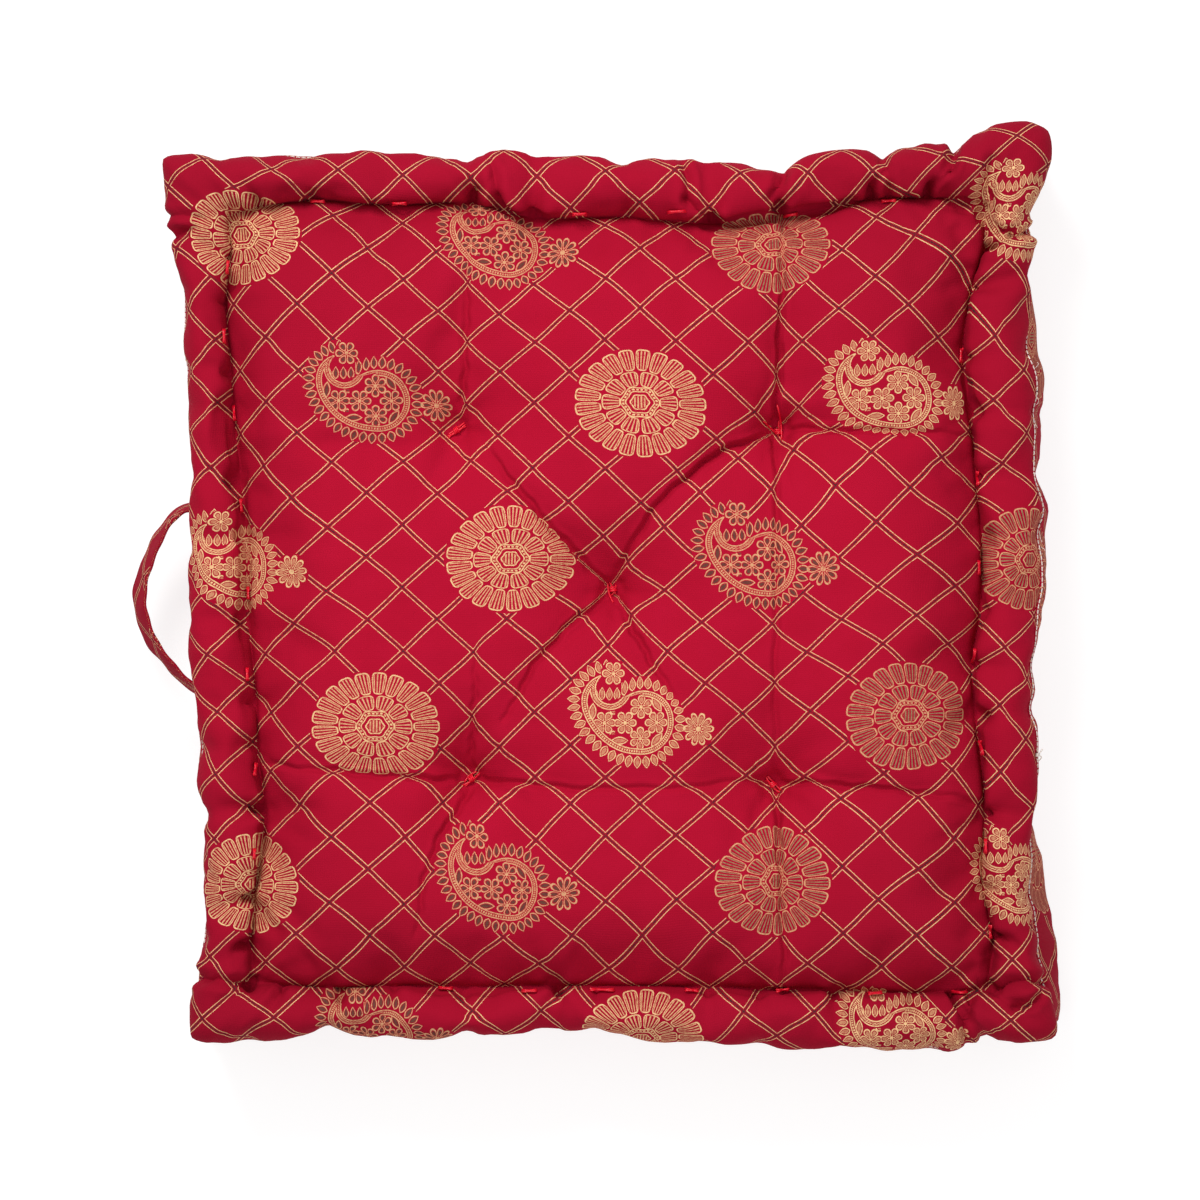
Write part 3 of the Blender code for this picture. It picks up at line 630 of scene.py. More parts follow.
# The two sides of the groove are drawn together into a narrow slit, and the print runs on
# undistorted to its lips.
column_now, aside_rest = beside_groove(panel_now[:, :2])
aside_now = np.sum((spot_at[:, :2] - groove[column_now]) * square_out[column_now], axis=1)
drawn_shut = (1 - 0.8 * np.exp(-(corner_gap / 24.0) ** 2))[column_now] * upper
closing = -0.75 * aside_now * np.exp(-(aside_now / 3.2) ** 2) * drawn_shut
spot_at[:, :2] += closing[:, None] * square_out[column_now]
spot_at[:, 2] -= 2.6 * np.exp(-(aside_now / 1.7) ** 2) * drawn_shut
lip = np.where(on_roll, np.clip((0.6 - share_now) / 0.15, 0, 1), np.exp(-(aside_rest / 14.0) ** 2)) * upper
print_drawn = (lip * (aside_now + closing - aside_rest))[:, None] * square_out[column_now]
spot_at[:, 2] = np.maximum(spot_at[:, 2], 0.0)
mesh.vertices.foreach_set("co", ((spot_at + (*PLAN_SHIFT, 0.0)) * MM).reshape(-1).astype(np.float32))

# The print: flowers and paisleys by turns in staggered rows.
FLOWER_AT = (13.3, 102.0)   # middle of one flower
ROW_STEP = (66.8, 81.6)     # from a motif to its like in the next row
MOTIF_PERIOD = 267.2        # from flower to flower along a row
PAISLEY_AFTER = 127.8       # from a flower to the paisley's body on its right
# Where each motif lies on the cushion: x and y of its middle, its row and its place in
# the row, 1 for a paisley, and 1 where its metallic print is painted as catching the light (painted glint), 0 where
# painted in shade.
MOTIFS = (
    (-189.7, 186.6, 1, -1, 0, 1), (83.1, 181.7, 1, 0, 0, 0), (-59.7, 180.2, 1, -1, 1, 0), (208.0, 197.1, 1, 0, 1, 1),
    (13.3, 100.1, 0, 0, 0, 1), (139.2, 103.7, 0, 0, 1, 1), (-127.5, 101.1, 0, -1, 1, 0),
    (-50.5, 19.5, -1, 0, 0, 1), (214.0, 22.1, -1, 1, 0, 0), (72.4, 17.0, -1, 0, 1, 0), (-193.0, 16.1, -1, -1, 1, 1),
    (-119.3, -64.1, -2, 0, 0, 1), (152.0, -59.5, -2, 1, 0, 0), (7.5, -63.3, -2, 0, 1, 1),
    (-183.1, -144.7, -3, 0, 0, 1), (84.1, -143.2, -3, 1, 0, 0), (-59.7, -147.2, -3, 0, 1, 0),
    (205.0, -144.9, -3, 1, 1, 1), (14.3, -223.9, -4, 1, 0, 1), (-122.4, -223.9, -4, 0, 1, 0),
    (145.0, -223.9, -4, 1, 1, 1),
)
# The print slips where a crease takes cloth up, and is drawn in round each tuft. Between
# those it follows the motifs, each point by the slip of the motifs near it.
slip = np.zeros((len(spot_at), 2))
pulls = []
for start, end, bow, depth, width, taken in CREASES:
    run = np.subtract(end, start)
    aside = np.array([-run[1], run[0]]) / np.hypot(*run)
    t, across, beyond = along_crease(panel_now[:, 0], panel_now[:, 1], start, end, bow)
    size = 0.5 * taken * np.tanh(across / 1.4) * np.exp(-(across / 46) ** 2 - (beyond / 16) ** 2)
    slip += (size * (1 - 0.5 * t))[:, None] * aside
for spot in TUFT_SPOTS.values():
    offset = panel_now[:, :2] - spot
    slip += 0.1 * offset * np.exp(-np.sum(offset ** 2, axis=1) / 27.0 ** 2)[:, None]
slip *= np.clip(rise_now * 3, 0, 1)[:, None]
loop_vertex = np.zeros(len(mesh.loops), np.int32)
mesh.loops.foreach_get("vertex_index", loop_vertex)
face_region = np.zeros(len(mesh.polygons), np.int32)
mesh.attributes["region"].data.foreach_get("value", face_region)
loop_total = np.zeros(len(mesh.polygons), np.int32)
mesh.polygons.foreach_get("loop_total", loop_total)
loop_region = np.repeat(face_region, loop_total)
uv = np.zeros(len(mesh.loops) * 2, np.float32)
mesh.uv_layers["cloth"].data.foreach_get("uv", uv)
uv = uv.reshape(-1, 2)
top_loop = (loop_region == PANEL) | (loop_region == ROLL)
uv[top_loop] += (print_drawn[loop_vertex] * MM)[top_loop].astype(np.float32)
cloth_at = np.zeros((len(mesh.vertices), 2))
cloth_at[loop_vertex] = uv / MM
above = np.zeros(len(mesh.vertices), bool)
above[loop_vertex[top_loop]] = True
above &= normals[:, 2] > 0.3
for x, y, row, place, paisley, _ in MOTIFS:
    at = np.array([x, y])
    nearest = np.argmin(np.sum((spot_at[:, :2] - at) ** 2, axis=1) + 1e6 * ~above)
    cell = (FLOWER_AT[0] + row * ROW_STEP[0] + place * MOTIF_PERIOD + paisley * PAISLEY_AFTER,
            FLOWER_AT[1] + row * ROW_STEP[1])
    pulls.append((at, cell - cloth_at[nearest] - slip[nearest]))
weight = np.zeros(len(spot_at))
settled = np.zeros((len(spot_at), 2))
for at, pull in pulls:
    near = np.exp(-np.sum((spot_at[:, :2] - at) ** 2, axis=1) / 34.0 ** 2)
    weight += near
    settled += near[:, None] * pull
slip = slip + settled / (weight + 0.15)[:, None]
uv[top_loop] += (slip[loop_vertex] * MM)[top_loop].astype(np.float32)
mesh.uv_layers["cloth"].data.foreach_set("uv", uv.reshape(-1))
print("cover triangles", int((loop_total - 2).sum()))

# Printed cotton: plain weave dyed crimson, with a metallic ochre print of trellis, flowers
# and paisleys. The eye sees matt saturated cloth, a soft bloom at grazing angles, and a
# print that is paler, slightly smoother and worn through in places.
MATH = "ShaderNodeMath"
VECTOR = "ShaderNodeVectorMath"
TRELLIS_WIDTH = 34.4        # full diagonals of one trellis diamond
TRELLIS_HEIGHT = 31.5
TRELLIS_AT = (-3.2, 69.6)   # one of its crossings


def linear(code):
    """An sRGB hex colour as linear red, green, blue and alpha."""
    parts = [int(code[k:k + 2], 16) / 255 for k in (1, 3, 5)]
    return (*(p / 12.92 if p <= 0.04045 else ((p + 0.055) / 1.055) ** 2.4 for p in parts), 1.0)


def add(tree, kind, settings, *inputs):
    """Adds a node with its settings, joins or sets its inputs in order, and gives its output."""
    node = tree.nodes.new(kind)
    for key, value in settings.items():
        setattr(node, key, value)
    for socket, value in zip([s for s in node.inputs if s.enabled], inputs):
        if isinstance(value, bpy.types.NodeSocket):
            tree.links.new(value, socket)
        elif value is not None:
            socket.default_value = value
    return next(s for s in node.outputs if s.enabled)


def printed_cotton(name, base_code):
    """The printed cloth, which reads its place in the print from the piece's cloth map."""
    material = bpy.data.materials.new(name)
    material.use_nodes = True
    tree = material.node_tree
    shader = tree.nodes["Principled BSDF"]
    cloth_map = add(tree, "ShaderNodeUVMap", {"uv_map": "cloth"})
    place = add(tree, VECTOR, {"operation": "SCALE"}, cloth_map)
    place.node.inputs["Scale"].default_value = 1000.0
    waver = add(tree, "ShaderNodeTexNoise", {}, place, 0.035, 1.0)
    waver = add(tree, VECTOR, {"operation": "MULTIPLY_ADD"}, waver.node.outputs["Color"],
                (1.6, 1.6, 0.0), (-0.8, -0.8, 0.0))
    spot = add(tree, VECTOR, {"operation": "ADD"}, place, waver)

    # Trellis: distance to the nearer of two families of slanting lines.
    across, up = 1 / TRELLIS_WIDTH, 1 / TRELLIS_HEIGHT
    apart = 1 / math.hypot(across, up)
    gaps = []
    for way in (1, -1):
        start = -(TRELLIS_AT[0] * across + way * TRELLIS_AT[1] * up)
        line = add(tree, VECTOR, {"operation": "DOT_PRODUCT"}, spot, (across, way * up, 0.0))
        line = add(tree, MATH, {"operation": "ADD"}, line, start)
        gaps.append(add(tree, MATH, {"operation": "PINGPONG"}, line, 0.5))
    gap = add(tree, MATH, {"operation": "MINIMUM"}, *gaps)
    gap = add(tree, MATH, {"operation": "MULTIPLY"}, gap, apart)
    trellis_gold = add(tree, MATH, {"operation": "COMPARE"}, gap, 1.05, 0.17)
    trellis_dark = add(tree, MATH, {"operation": "LESS_THAN"}, gap, 0.32)

    # Motif cell: fold the cloth into one flower and one paisley side by side.
    off = add(tree, VECTOR, {"operation": "SUBTRACT"}, spot, (*FLOWER_AT, 0.0))
    x = add(tree, "ShaderNodeSeparateXYZ", {}, off)
    y = x.node.outputs["Y"]
    cell_y = add(tree, MATH, {"operation": "WRAP"}, y, ROW_STEP[1] / 2, -ROW_STEP[1] / 2)
    rows = add(tree, MATH, {"operation": "SUBTRACT"}, y, cell_y)
    cell_x = add(tree, MATH, {"operation": "MULTIPLY_ADD"}, rows, -ROW_STEP[0] / ROW_STEP[1], x)
    cell_x = add(tree, MATH, {"operation": "WRAP"}, cell_x, MOTIF_PERIOD * 0.75, -MOTIF_PERIOD * 0.25)

    # Flower: a bead ring and two rings of petals round a hatched oval.
    tall = add(tree, MATH, {"operation": "MULTIPLY"}, cell_y, 1.2)
    at = add(tree, "ShaderNodeCombineXYZ", {}, cell_x, tall)
    radius = add(tree, VECTOR, {"operation": "LENGTH"}, at)
    radius = add(tree, MATH, {"operation": "MULTIPLY"}, radius, 1.03)
    angle = add(tree, MATH, {"operation": "ARCTAN2"}, tall, cell_x)
    six = add(tree, MATH, {"operation": "MULTIPLY"}, angle, 6.0)
    six = add(tree, MATH, {"operation": "COSINE"}, six)
    six = add(tree, MATH, {"operation": "MULTIPLY_ADD"}, six, -0.06, 1.0)
    hexagon = add(tree, MATH, {"operation": "MULTIPLY"}, radius, six)
    angle = add(tree, MATH, {"operation": "DIVIDE"}, angle, 2 * math.pi)
    outer_ring = add(tree, MATH, {"operation": "GREATER_THAN"}, radius, 18.8)
    petals = add(tree, MATH, {"operation": "MULTIPLY_ADD"}, outer_ring, 11.0, 10.0)
    petal = add(tree, MATH, {"operation": "MULTIPLY"}, angle, petals)
    petal = add(tree, MATH, {"operation": "WRAP"}, petal, 0.5, -0.5)
    middle = add(tree, MATH, {"operation": "MULTIPLY_ADD"}, outer_ring, 11.6, 14.0)
    half = add(tree, MATH, {"operation": "MULTIPLY_ADD"}, outer_ring, 2.1, 4.5)
    along = add(tree, MATH, {"operation": "SUBTRACT"}, radius, middle)
    along = add(tree, MATH, {"operation": "DIVIDE"}, along, half)
    aside = add(tree, MATH, {"operation": "DIVIDE"}, petal, 0.44)
    bulge = add(tree, MATH, {"operation": "MULTIPLY"}, along, along)
    bulge = add(tree, MATH, {"operation": "MULTIPLY"}, bulge, bulge)
    narrow = add(tree, MATH, {"operation": "MULTIPLY"}, aside, aside)
    narrow = add(tree, MATH, {"operation": "MULTIPLY"}, narrow, narrow)
    petal_form = add(tree, MATH, {"operation": "ADD"}, bulge, narrow)
    flower_gold = add(tree, MATH, {"operation": "COMPARE"}, petal_form, 0.8, 0.2)
    in_petal = add(tree, MATH, {"operation": "LESS_THAN"}, petal_form, 0.5)
    hatch = add(tree, MATH, {"operation": "MULTIPLY"}, petal, 5.0)
    hatch = add(tree, MATH, {"operation": "PINGPONG"}, hatch, 0.5)
    hatch = add(tree, MATH, {"operation": "GREATER_THAN"}, hatch, 0.3)
    flower_fill = add(tree, MATH, {"operation": "MULTIPLY"}, in_petal, hatch)
    for ring, thick in ((8.9, 0.35), (6.5, 0.3), (4.3, 0.35)):
        line = add(tree, MATH, {"operation": "COMPARE"}, hexagon, ring, thick)
        flower_gold = add(tree, MATH, {"operation": "MAXIMUM"}, flower_gold, line)
    beads = add(tree, MATH, {"operation": "MULTIPLY"}, angle, 24.0)
    beads = add(tree, MATH, {"operation": "PINGPONG"}, beads, 0.5)
    beads = add(tree, MATH, {"operation": "GREATER_THAN"}, beads, 0.2)
    bead_ring = add(tree, MATH, {"operation": "COMPARE"}, hexagon, 7.7, 0.5)
    beads = add(tree, MATH, {"operation": "MULTIPLY"}, beads, bead_ring)
    flower_gold = add(tree, MATH, {"operation": "MAXIMUM"}, flower_gold, beads)
    hub = add(tree, MATH, {"operation": "LESS_THAN"}, radius, 3.6)
    hub_lines = add(tree, MATH, {"operation": "DIVIDE"}, cell_x, 1.5)
    hub_lines = add(tree, MATH, {"operation": "PINGPONG"}, hub_lines, 0.5)
    hub_lines = add(tree, MATH, {"operation": "GREATER_THAN"}, hub_lines, 0.24)
    hub = add(tree, MATH, {"operation": "MULTIPLY"}, hub, hub_lines)
    flower_fill = add(tree, MATH, {"operation": "MAXIMUM"}, flower_fill, hub)

    # Paisley: the outline is four round arcs, a hump on the right, the long back below, the
    # tail that rises on the left and the bay beside it. This is the distance to that outline.
    paisley_x = add(tree, MATH, {"operation": "SUBTRACT"}, cell_x, PAISLEY_AFTER)
    paisley_at = add(tree, "ShaderNodeCombineXYZ", {}, paisley_x, cell_y)
    arcs = []
    for middle, reach_out in (((7.2, -0.2), 15.1), ((6.45, 14.7), 29.85), ((-10.2, 10.3), 12.5), ((-9.0, 16.3), 7.6)):
        arc = add(tree, VECTOR, {"operation": "DISTANCE"}, paisley_at, (*middle, 0.0))
        arcs.append(add(tree, MATH, {"operation": "SUBTRACT"}, arc, reach_out))
    hump, back, tail, bay = arcs
    over_back = add(tree, VECTOR, {"operation": "DOT_PRODUCT"}, paisley_at, (-1.022, 3.868, 0.0))
    over_back = add(tree, MATH, {"operation": "SUBTRACT"}, over_back, 50.26)
    past_hump = add(tree, MATH, {"operation": "MULTIPLY_ADD"}, paisley_x, 3.0, -21.6)
    past_tail = add(tree, MATH, {"operation": "MULTIPLY_ADD"}, paisley_x, 8.0, 32.0)
    back = add(tree, MATH, {"operation": "MAXIMUM"}, back, over_back)
    back = add(tree, MATH, {"operation": "MAXIMUM"}, back, past_hump)
    tail = add(tree, MATH, {"operation": "MAXIMUM"}, tail, past_tail)
    edge = add(tree, MATH, {"operation": "MINIMUM"}, hump, back)
    edge = add(tree, MATH, {"operation": "MINIMUM"}, edge, tail)
    in_bay = add(tree, MATH, {"operation": "LESS_THAN"}, bay, 0.0)
    bay = add(tree, MATH, {"operation": "MULTIPLY"}, bay, -1.0)
    edge = add(tree, MATH, {"operation": "MAXIMUM"}, edge, bay)
    paisley_gold = add(tree, MATH, {"operation": "COMPARE"}, edge, 0.0, 0.3)
    inner = add(tree, MATH, {"operation": "COMPARE"}, edge, -2.3, 0.28)
    paisley_gold = add(tree, MATH, {"operation": "MAXIMUM"}, paisley_gold, inner)

    # Its leaves are counted by the angle about the middle of each arc, and side by side in
    # the bay and along the left of the hump.
    on_right = add(tree, MATH, {"operation": "GREATER_THAN"}, paisley_x, 7.2)
    on_left = add(tree, MATH, {"operation": "GREATER_THAN"}, over_back, 0.0)
    on_left = add(tree, MATH, {"operation": "GREATER_THAN"}, on_left, on_right)
    hub = add(tree, "ShaderNodeMix", {"data_type": "VECTOR"}, on_right, (6.45, 14.7, -7.64), (7.2, -0.2, -4.456))
    hub = add(tree, "ShaderNodeMix", {"data_type": "VECTOR"}, on_left, hub, (-10.2, 10.3, -4.14))
    arm = add(tree, VECTOR, {"operation": "SUBTRACT"}, hub, paisley_at)
    arm = add(tree, "ShaderNodeSeparateXYZ", {}, arm)
    spin = add(tree, MATH, {"operation": "ARCTAN2"}, arm, arm.node.outputs["Y"])
    first = add(tree, MATH, {"operation": "MULTIPLY_ADD"}, on_right, 0.16, 0.34)
    first = add(tree, MATH, {"operation": "MULTIPLY_ADD"}, on_left, -4.6, first)
    leaf = add(tree, MATH, {"operation": "MULTIPLY_ADD"}, spin, arm.node.outputs["Z"], first)
    beside = add(tree, MATH, {"operation": "GREATER_THAN"}, paisley_x, -8.0)
    beside = add(tree, MATH, {"operation": "MAXIMUM"}, beside, in_bay)
    beside = add(tree, MATH, {"operation": "MULTIPLY"}, beside, on_left)
    side_by_side = add(tree, MATH, {"operation": "MULTIPLY_ADD"}, paisley_x, -1 / 3.7, 16.446)
    leaf = add(tree, "ShaderNodeMix", {"data_type": "FLOAT"}, beside, leaf, side_by_side)
    leaf = add(tree, MATH, {"operation": "PINGPONG"}, leaf, 0.5)
    beads = add(tree, MATH, {"operation": "MULTIPLY"}, leaf, 3.0)
    beads = add(tree, MATH, {"operation": "PINGPONG"}, beads, 0.5)
    beads = add(tree, MATH, {"operation": "GREATER_THAN"}, beads, 0.2)
    bead_band = add(tree, MATH, {"operation": "COMPARE"}, edge, -1.15, 0.5)
    beads = add(tree, MATH, {"operation": "MULTIPLY"}, beads, bead_band)
    paisley_gold = add(tree, MATH, {"operation": "MAXIMUM"}, paisley_gold, beads)
    short = add(tree, MATH, {"operation": "LESS_THAN"}, paisley_x, -3.65)
    short = add(tree, MATH, {"operation": "MULTIPLY"}, short, in_bay)
    up_bay = add(tree, MATH, {"operation": "SUBTRACT"}, cell_y, 9.7)
    leaf_end = add(tree, "ShaderNodeMix", {"data_type": "FLOAT"}, short, edge, up_bay)
    leaf_end = add(tree, MATH, {"operation": "MULTIPLY_ADD"}, leaf_end, 1 / 3.1, -4.1 / 3.1)
    leaf_side = add(tree, MATH, {"operation": "MULTIPLY_ADD"}, leaf_end, 0.8, 2.35)
    leaf_side = add(tree, MATH, {"operation": "MULTIPLY"}, leaf_side, leaf)
    leaf_end = add(tree, MATH, {"operation": "MULTIPLY"}, leaf_end, leaf_end)
    leaf_form = add(tree, MATH, {"operation": "ADD"}, leaf_side, leaf_end)
    bare = add(tree, MATH, {"operation": "GREATER_THAN"}, cell_y, 22.2)
    past_tip = add(tree, MATH, {"operation": "GREATER_THAN"}, paisley_x, -9.5)
    bare = add(tree, MATH, {"operation": "MULTIPLY"}, bare, past_tip)
    leaf_form = add(tree, MATH, {"operation": "MULTIPLY_ADD"}, bare, 3.0, leaf_form)
    leaf_line = add(tree, MATH, {"operation": "COMPARE"}, leaf_form, 0.86, 0.15)
    paisley_gold = add(tree, MATH, {"operation": "MAXIMUM"}, paisley_gold, leaf_line)
    paisley_fill = add(tree, MATH, {"operation": "LESS_THAN"}, leaf_form, 0.5)

    # Four loose leaves inside it, each at its own place and slant.
    loose = []
    for leaf_x, leaf_y, slant in ((-17.6, 5.2, 1.5), (-4.1, -8.6, 0.0), (13.6, 8.6, -0.95), (14.6, -8.4, 0.9)):
        ahead, beside = math.cos(slant), math.sin(slant)
        u = add(tree, VECTOR, {"operation": "DOT_PRODUCT"}, paisley_at, (ahead / 4.2, beside / 4.2, 0.0))
        u = add(tree, MATH, {"operation": "SUBTRACT"}, u, (leaf_x * ahead + leaf_y * beside) / 4.2)
        v = add(tree, VECTOR, {"operation": "DOT_PRODUCT"}, paisley_at, (-beside / 1.9, ahead / 1.9, 0.0))
        v = add(tree, MATH, {"operation": "SUBTRACT"}, v, (leaf_y * ahead - leaf_x * beside) / 1.9)
        v = add(tree, MATH, {"operation": "ABSOLUTE"}, v)
        loose.append(add(tree, MATH, {"operation": "MULTIPLY_ADD"}, u, u, v))
    while len(loose) > 1:
        loose.append(add(tree, MATH, {"operation": "MINIMUM"}, loose.pop(0), loose.pop(0)))
    loose_line = add(tree, MATH, {"operation": "COMPARE"}, loose[0], 0.85, 0.16)
    paisley_gold = add(tree, MATH, {"operation": "MAXIMUM"}, paisley_gold, loose_line)
    loose_fill = add(tree, MATH, {"operation": "LESS_THAN"}, loose[0], 0.5)
    paisley_fill = add(tree, MATH, {"operation": "MAXIMUM"}, paisley_fill, loose_fill)

    # Five small flowers inside it, one on its tip, and a larger one past its right end.
    more = add(tree, MATH, {"operation": "LESS_THAN"}, paisley_x, -6.5)
    bud_x = add(tree, MATH, {"operation": "MULTIPLY_ADD"}, more, 10.2, paisley_x)
    bud_at = add(tree, "ShaderNodeCombineXYZ", {}, bud_x, cell_y)
    bud_at = add(tree, VECTOR, {"operation": "ADD"}, bud_at, (-6.2, 0.1, 0.0))
    bud_at = add(tree, VECTOR, {"operation": "ABSOLUTE"}, bud_at)
    bud_x = add(tree, "ShaderNodeSeparateXYZ", {}, bud_at)
    bud_y = bud_x.node.outputs["Y"]
    far_side = add(tree, MATH, {"operation": "MAXIMUM"}, bud_x, bud_y)
    near_side = add(tree, MATH, {"operation": "MINIMUM"}, bud_x, bud_y)
    far_side = add(tree, MATH, {"operation": "SUBTRACT"}, far_side, 7.6)
    bud_at = add(tree, "ShaderNodeCombineXYZ", {}, far_side, near_side)
    inside = add(tree, MATH, {"operation": "LESS_THAN"}, edge, -2.8)
    stray = add(tree, MATH, {"operation": "GREATER_THAN"}, bud_y, 5.6)
    stray = add(tree, MATH, {"operation": "MULTIPLY"}, stray, more)
    inside = add(tree, MATH, {"operation": "GREATER_THAN"}, inside, stray)
    on_tip = add(tree, VECTOR, {"operation": "ADD"}, paisley_at, (7.9, -23.4, 0.0))
    tip_near = add(tree, VECTOR, {"operation": "LENGTH"}, on_tip)
    tip_near = add(tree, MATH, {"operation": "LESS_THAN"}, tip_near, 6.2)
    bud_at = add(tree, "ShaderNodeMix", {"data_type": "VECTOR"}, tip_near, bud_at, on_tip)
    past_end = add(tree, VECTOR, {"operation": "MULTIPLY_ADD"}, paisley_at, (0.72, 0.66, 0.0), (-25.5, 1.7, 0.0))
    end_near = add(tree, VECTOR, {"operation": "LENGTH"}, past_end)
    end_near = add(tree, MATH, {"operation": "LESS_THAN"}, end_near, 6.2)
    bud_at = add(tree, "ShaderNodeMix", {"data_type": "VECTOR"}, end_near, bud_at, past_end)
    inside = add(tree, MATH, {"operation": "MAXIMUM"}, inside, tip_near)
    inside = add(tree, MATH, {"operation": "MAXIMUM"}, inside, end_near)
    bud = add(tree, VECTOR, {"operation": "LENGTH"}, bud_at)
    bud_turn = add(tree, "ShaderNodeSeparateXYZ", {}, bud_at)
    bud_turn = add(tree, MATH, {"operation": "ARCTAN2"}, bud_turn.node.outputs["Y"], bud_turn)
    bud_count = add(tree, MATH, {"operation": "MULTIPLY_ADD"}, end_near, 4 / (2 * math.pi), 6 / (2 * math.pi))
    bud_side = add(tree, MATH, {"operation": "MULTIPLY"}, bud_turn, bud_count)
    bud_side = add(tree, MATH, {"operation": "PINGPONG"}, bud_side, 0.5)
    bud_end = add(tree, MATH, {"operation": "MULTIPLY_ADD"}, bud, 1 / 2.3, -3.3 / 2.3)
    bud_side = add(tree, MATH, {"operation": "DIVIDE"}, bud_side, 0.44)
    bud_side = add(tree, MATH, {"operation": "MULTIPLY"}, bud_side, bud_side)
    bud_form = add(tree, MATH, {"operation": "MULTIPLY_ADD"}, bud_end, bud_end, bud_side)
    bud_line = add(tree, MATH, {"operation": "COMPARE"}, bud_form, 0.78, 0.26)
    bud_eye = add(tree, MATH, {"operation": "LESS_THAN"}, bud, 0.9)
    bud_gold = add(tree, MATH, {"operation": "MAXIMUM"}, bud_line, bud_eye)
    bud_gold = add(tree, MATH, {"operation": "MULTIPLY"}, bud_gold, inside)
    bud_fill = add(tree, MATH, {"operation": "LESS_THAN"}, bud_form, 0.28)
    bud_fill = add(tree, MATH, {"operation": "MULTIPLY"}, bud_fill, inside)
    outside = add(tree, MATH, {"operation": "SUBTRACT"}, 1.0, tip_near)
    paisley_gold = add(tree, MATH, {"operation": "MULTIPLY"}, paisley_gold, outside)
    paisley_fill = add(tree, MATH, {"operation": "MULTIPLY"}, paisley_fill, outside)
    paisley_gold = add(tree, MATH, {"operation": "MAXIMUM"}, paisley_gold, bud_gold)
    paisley_fill = add(tree, MATH, {"operation": "MAXIMUM"}, paisley_fill, bud_fill)

    # The trellis stops at the motifs. Their fill is ochre where the metallic print is painted as catching the light,
    # and thin ochre on brown where it is painted in shade.
    clear_flower = add(tree, MATH, {"operation": "GREATER_THAN"}, radius, 33.3)
    clear_paisley = add(tree, MATH, {"operation": "GREATER_THAN"}, edge, 7.2)
    clear = add(tree, MATH, {"operation": "MULTIPLY"}, clear_flower, clear_paisley)
    clear_end = add(tree, MATH, {"operation": "SUBTRACT"}, 1.0, end_near)
    clear = add(tree, MATH, {"operation": "MULTIPLY"}, clear, clear_end)
    print_and_glint = add(tree, "ShaderNodeAttribute", {"attribute_name": "print_and_glint"}).node.outputs["Fac"]
    printed = add(tree, MATH, {"operation": "GREATER_THAN"}, print_and_glint, 0.25)
    plain = add(tree, MATH, {"operation": "SUBTRACT"}, 1.0, printed)
    clear = add(tree, MATH, {"operation": "MAXIMUM"}, clear, plain)
    trellis_gold = add(tree, MATH, {"operation": "MULTIPLY"}, trellis_gold, clear)
    trellis_dark = add(tree, MATH, {"operation": "MULTIPLY"}, trellis_dark, clear)
    fill = add(tree, MATH, {"operation": "MAXIMUM"}, flower_fill, paisley_fill)
    gold = add(tree, MATH, {"operation": "MAXIMUM"}, flower_gold, paisley_gold)
    fill = add(tree, MATH, {"operation": "MULTIPLY"}, fill, printed)
    gold = add(tree, MATH, {"operation": "MULTIPLY"}, gold, printed)
    # Painted glint and shade: motifs marked as catching the light get brighter gold, the others duller gold and a
    # brown fill.
    catches_light = add(tree, MATH, {"operation": "GREATER_THAN"}, print_and_glint, 0.75)
    unlit_fill = add(tree, MATH, {"operation": "GREATER_THAN"}, fill, catches_light)
    thin_fill = add(tree, MATH, {"operation": "MULTIPLY_ADD"}, flower_fill, 0.27, 0.43)
    unlit_thin_fill = add(tree, MATH, {"operation": "MULTIPLY_ADD"}, flower_fill, 0.27, 0.06)
    thin_fill = add(tree, "ShaderNodeMix", {"data_type": "FLOAT"}, catches_light, unlit_thin_fill, thin_fill)
    gilt_fill = add(tree, MATH, {"operation": "MULTIPLY"}, fill, thin_fill)
    glint = add(tree, "ShaderNodeMapRange", {}, catches_light, 0.0, 1.0, 0.62, 0.95)
    gold = add(tree, MATH, {"operation": "MULTIPLY"}, gold, glint)
    gold = add(tree, MATH, {"operation": "MAXIMUM"}, gold, gilt_fill)
    gold = add(tree, MATH, {"operation": "MAXIMUM"}, gold, trellis_gold)

    # The print is a little thin here and there, down to the scale of the threads.
    worn = add(tree, "ShaderNodeTexNoise", {}, place, 0.55, 3.0, 0.65)
    worn = add(tree, "ShaderNodeMapRange", {}, worn, 0.32, 0.52, 0.35, 1.0)
    gold = add(tree, MATH, {"operation": "MULTIPLY"}, gold, worn)
    broken = add(tree, "ShaderNodeTexNoise", {}, place, 0.8, 1.0)
    broken = add(tree, "ShaderNodeMapRange", {}, broken, 0.38, 0.6, 1.0, 0.5)
    trellis_dark = add(tree, MATH, {"operation": "MULTIPLY"}, trellis_dark, broken)
    mottle = add(tree, "ShaderNodeTexNoise", {}, place, 0.05, 3.0)
    base = add(tree, "ShaderNodeMix", {"data_type": "RGBA"}, mottle, linear(base_code), linear("#AE0F30"))
